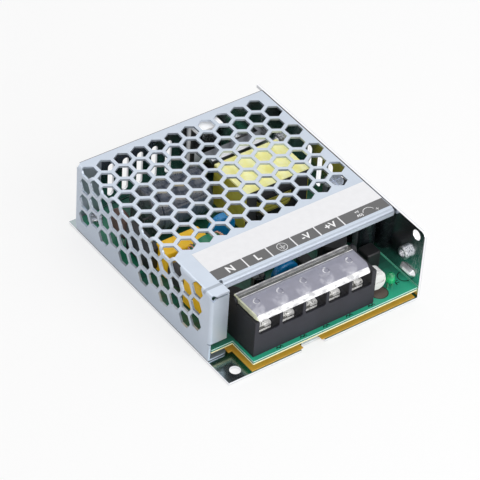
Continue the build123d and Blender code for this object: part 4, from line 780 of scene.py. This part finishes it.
def print_lines(name, runs, thickness):
    """Flat printed strokes on the label, each through a list of places in millimetres."""
    points = []
    faces = []
    for run in runs:
        for (xa, ya), (xb, yb) in zip(run, run[1:]):
            half = thickness / 2 / math.hypot(xb - xa, yb - ya)
            dx, dy = (ya - yb) * half, (xb - xa) * half
            faces.append(tuple(range(len(points), len(points) + 4)))
            points += [(xa + dx, ya + dy), (xa - dx, ya - dy), (xb - dx, yb - dy),
                       (xb + dx, yb + dy)]
    mesh = bpy.data.meshes.new(name)
    mesh.from_pydata([(x * mm, y * mm, film_top + line_rise) for x, y in points], [], faces)
    print_sign(name, mesh)


def arc(x, y, radius, start, end, steps=24):
    """Places along an arc, angles in degrees."""
    angles = [math.radians(start + (end - start) * i / steps) for i in range(steps + 1)]
    return [(x + radius * math.cos(angle), y + radius * math.sin(angle)) for angle in angles]


def level_line(x, y, half_length):
    """A level stroke through its middle."""
    return [(x - half_length, y), (x + half_length, y)]


earth_x = -5.6
print_lines("earth_sign", [
    arc(earth_x, band_middle, 1.9, 0, 360),
    [(earth_x, band_middle + 1.4), (earth_x, band_middle)],
    level_line(earth_x, band_middle, 1.3),
    level_line(earth_x, band_middle - 0.5, 0.85),
    level_line(earth_x, band_middle - 1.0, 0.4),
], 0.2)
plus_x, plus_y = 34.5, band_middle - 1.3
print_lines("adjust_sign", [
    arc(31.2, plus_y, 2.4, 20, 160),
    level_line(plus_x, plus_y, 0.6),
    [(plus_x, plus_y - 0.6), (plus_x, plus_y + 0.6)],
], 0.24)

# The unit stands on a white table in soft light: a large lamp overhead, one in front on the
# right, and a weak fill from the right. What the camera and the bright metal see behind it
# is plain white.

table_reach = 3.0
table_mesh = bpy.data.meshes.new("table_top")
table_mesh.from_pydata([(x * table_reach, y * table_reach, 0.0)
                        for x, y in ((-1, -1), (1, -1), (1, 1), (-1, 1))], [], [(0, 1, 2, 3)])
floor = show("table_top", table_mesh)
floor.location.z = -0.2 * mm
table_glow = 0.7
table = Finish("white_table", (0.90, 0.90, 0.90), 0.8)
seen = table.node("LightPath", output="Is Camera Ray")
plain_white = table.node("Emission", {}, {"Color": white, "Strength": 1.0})
lit = Value(table, table.surface.outputs[0])
mixed = table.node("MixShader", {}, {0: seen * table_glow, 1: lit, 2: plain_white})
table.join(table.tree.nodes["Material Output"].inputs["Surface"], mixed)
table_mesh.materials.append(table.material)

world = bpy.data.worlds.new("studio")
bpy.context.scene.world = world
world.use_nodes = True
studio_level = 0.47
studio = Nodes(world.node_tree)
backdrop = studio.tree.nodes["Background"]
seen = any_of([studio.node("LightPath", output=f"Is {kind} Ray")
               for kind in ("Camera", "Glossy", "Transmission")])
studio.join(backdrop.inputs["Color"], white)
studio.join(backdrop.inputs["Strength"], studio.spread(seen, studio_level, 1.0))

unit_middle = Vector((0.0, 0.0, 0.015))


def soft_lamp(name, place, size, power):
    """Square area lamp that faces the unit."""
    light = bpy.data.lights.new(name, "AREA")
    light.size = size
    light.energy = power
    hung = show(name, light)
    hung.location = place
    hung.rotation_euler = (unit_middle - Vector(place)).to_track_quat("-Z", "Y").to_euler()


soft_lamp("overhead_lamp", (0.05, 0.05, 0.80), 1.0, 2.9)
soft_lamp("front_lamp", (0.15, -0.75, 0.38), 0.8, 4.4)
soft_lamp("right_fill", (0.7, -0.2, 0.35), 0.5, 0.5)

# The camera stands in front and to the left, well above the unit, with a long lens. It is
# rolled by a few degrees and slid sideways, so that the unit lies well in the frame.

focal_px = 2691.348
frame_px = 480.0
azimuth = math.radians(38.2436)
elevation = math.radians(40.7157)
roll = math.radians(4.0655)
distance = 0.94906
aim = Vector((0.0, 0.006, 0.015))
slide_right = 0.0018972
slide_up = -0.0073677
forward = Vector((math.sin(azimuth) * math.cos(elevation),
                  math.cos(azimuth) * math.cos(elevation), -math.sin(elevation)))
level_right = Vector((math.cos(azimuth), -math.sin(azimuth), 0.0))
level_up = level_right.cross(forward)
right = level_right * math.cos(roll) + level_up * math.sin(roll)
up = level_up * math.cos(roll) - level_right * math.sin(roll)
camera_data = bpy.data.cameras.new("camera")
camera_data.sensor_width = 36.0
camera_data.lens = focal_px / frame_px * camera_data.sensor_width
camera_data.clip_start = 0.05
camera_data.clip_end = 20.0
camera = show("camera", camera_data)
camera.location = aim + right * slide_right + up * slide_up - forward * distance
camera.rotation_mode = "QUATERNION"
camera.rotation_quaternion = Matrix((right, up, -forward)).transposed().to_quaternion()
bpy.context.scene.camera = camera
bpy.context.scene.view_settings.view_transform = "Standard"
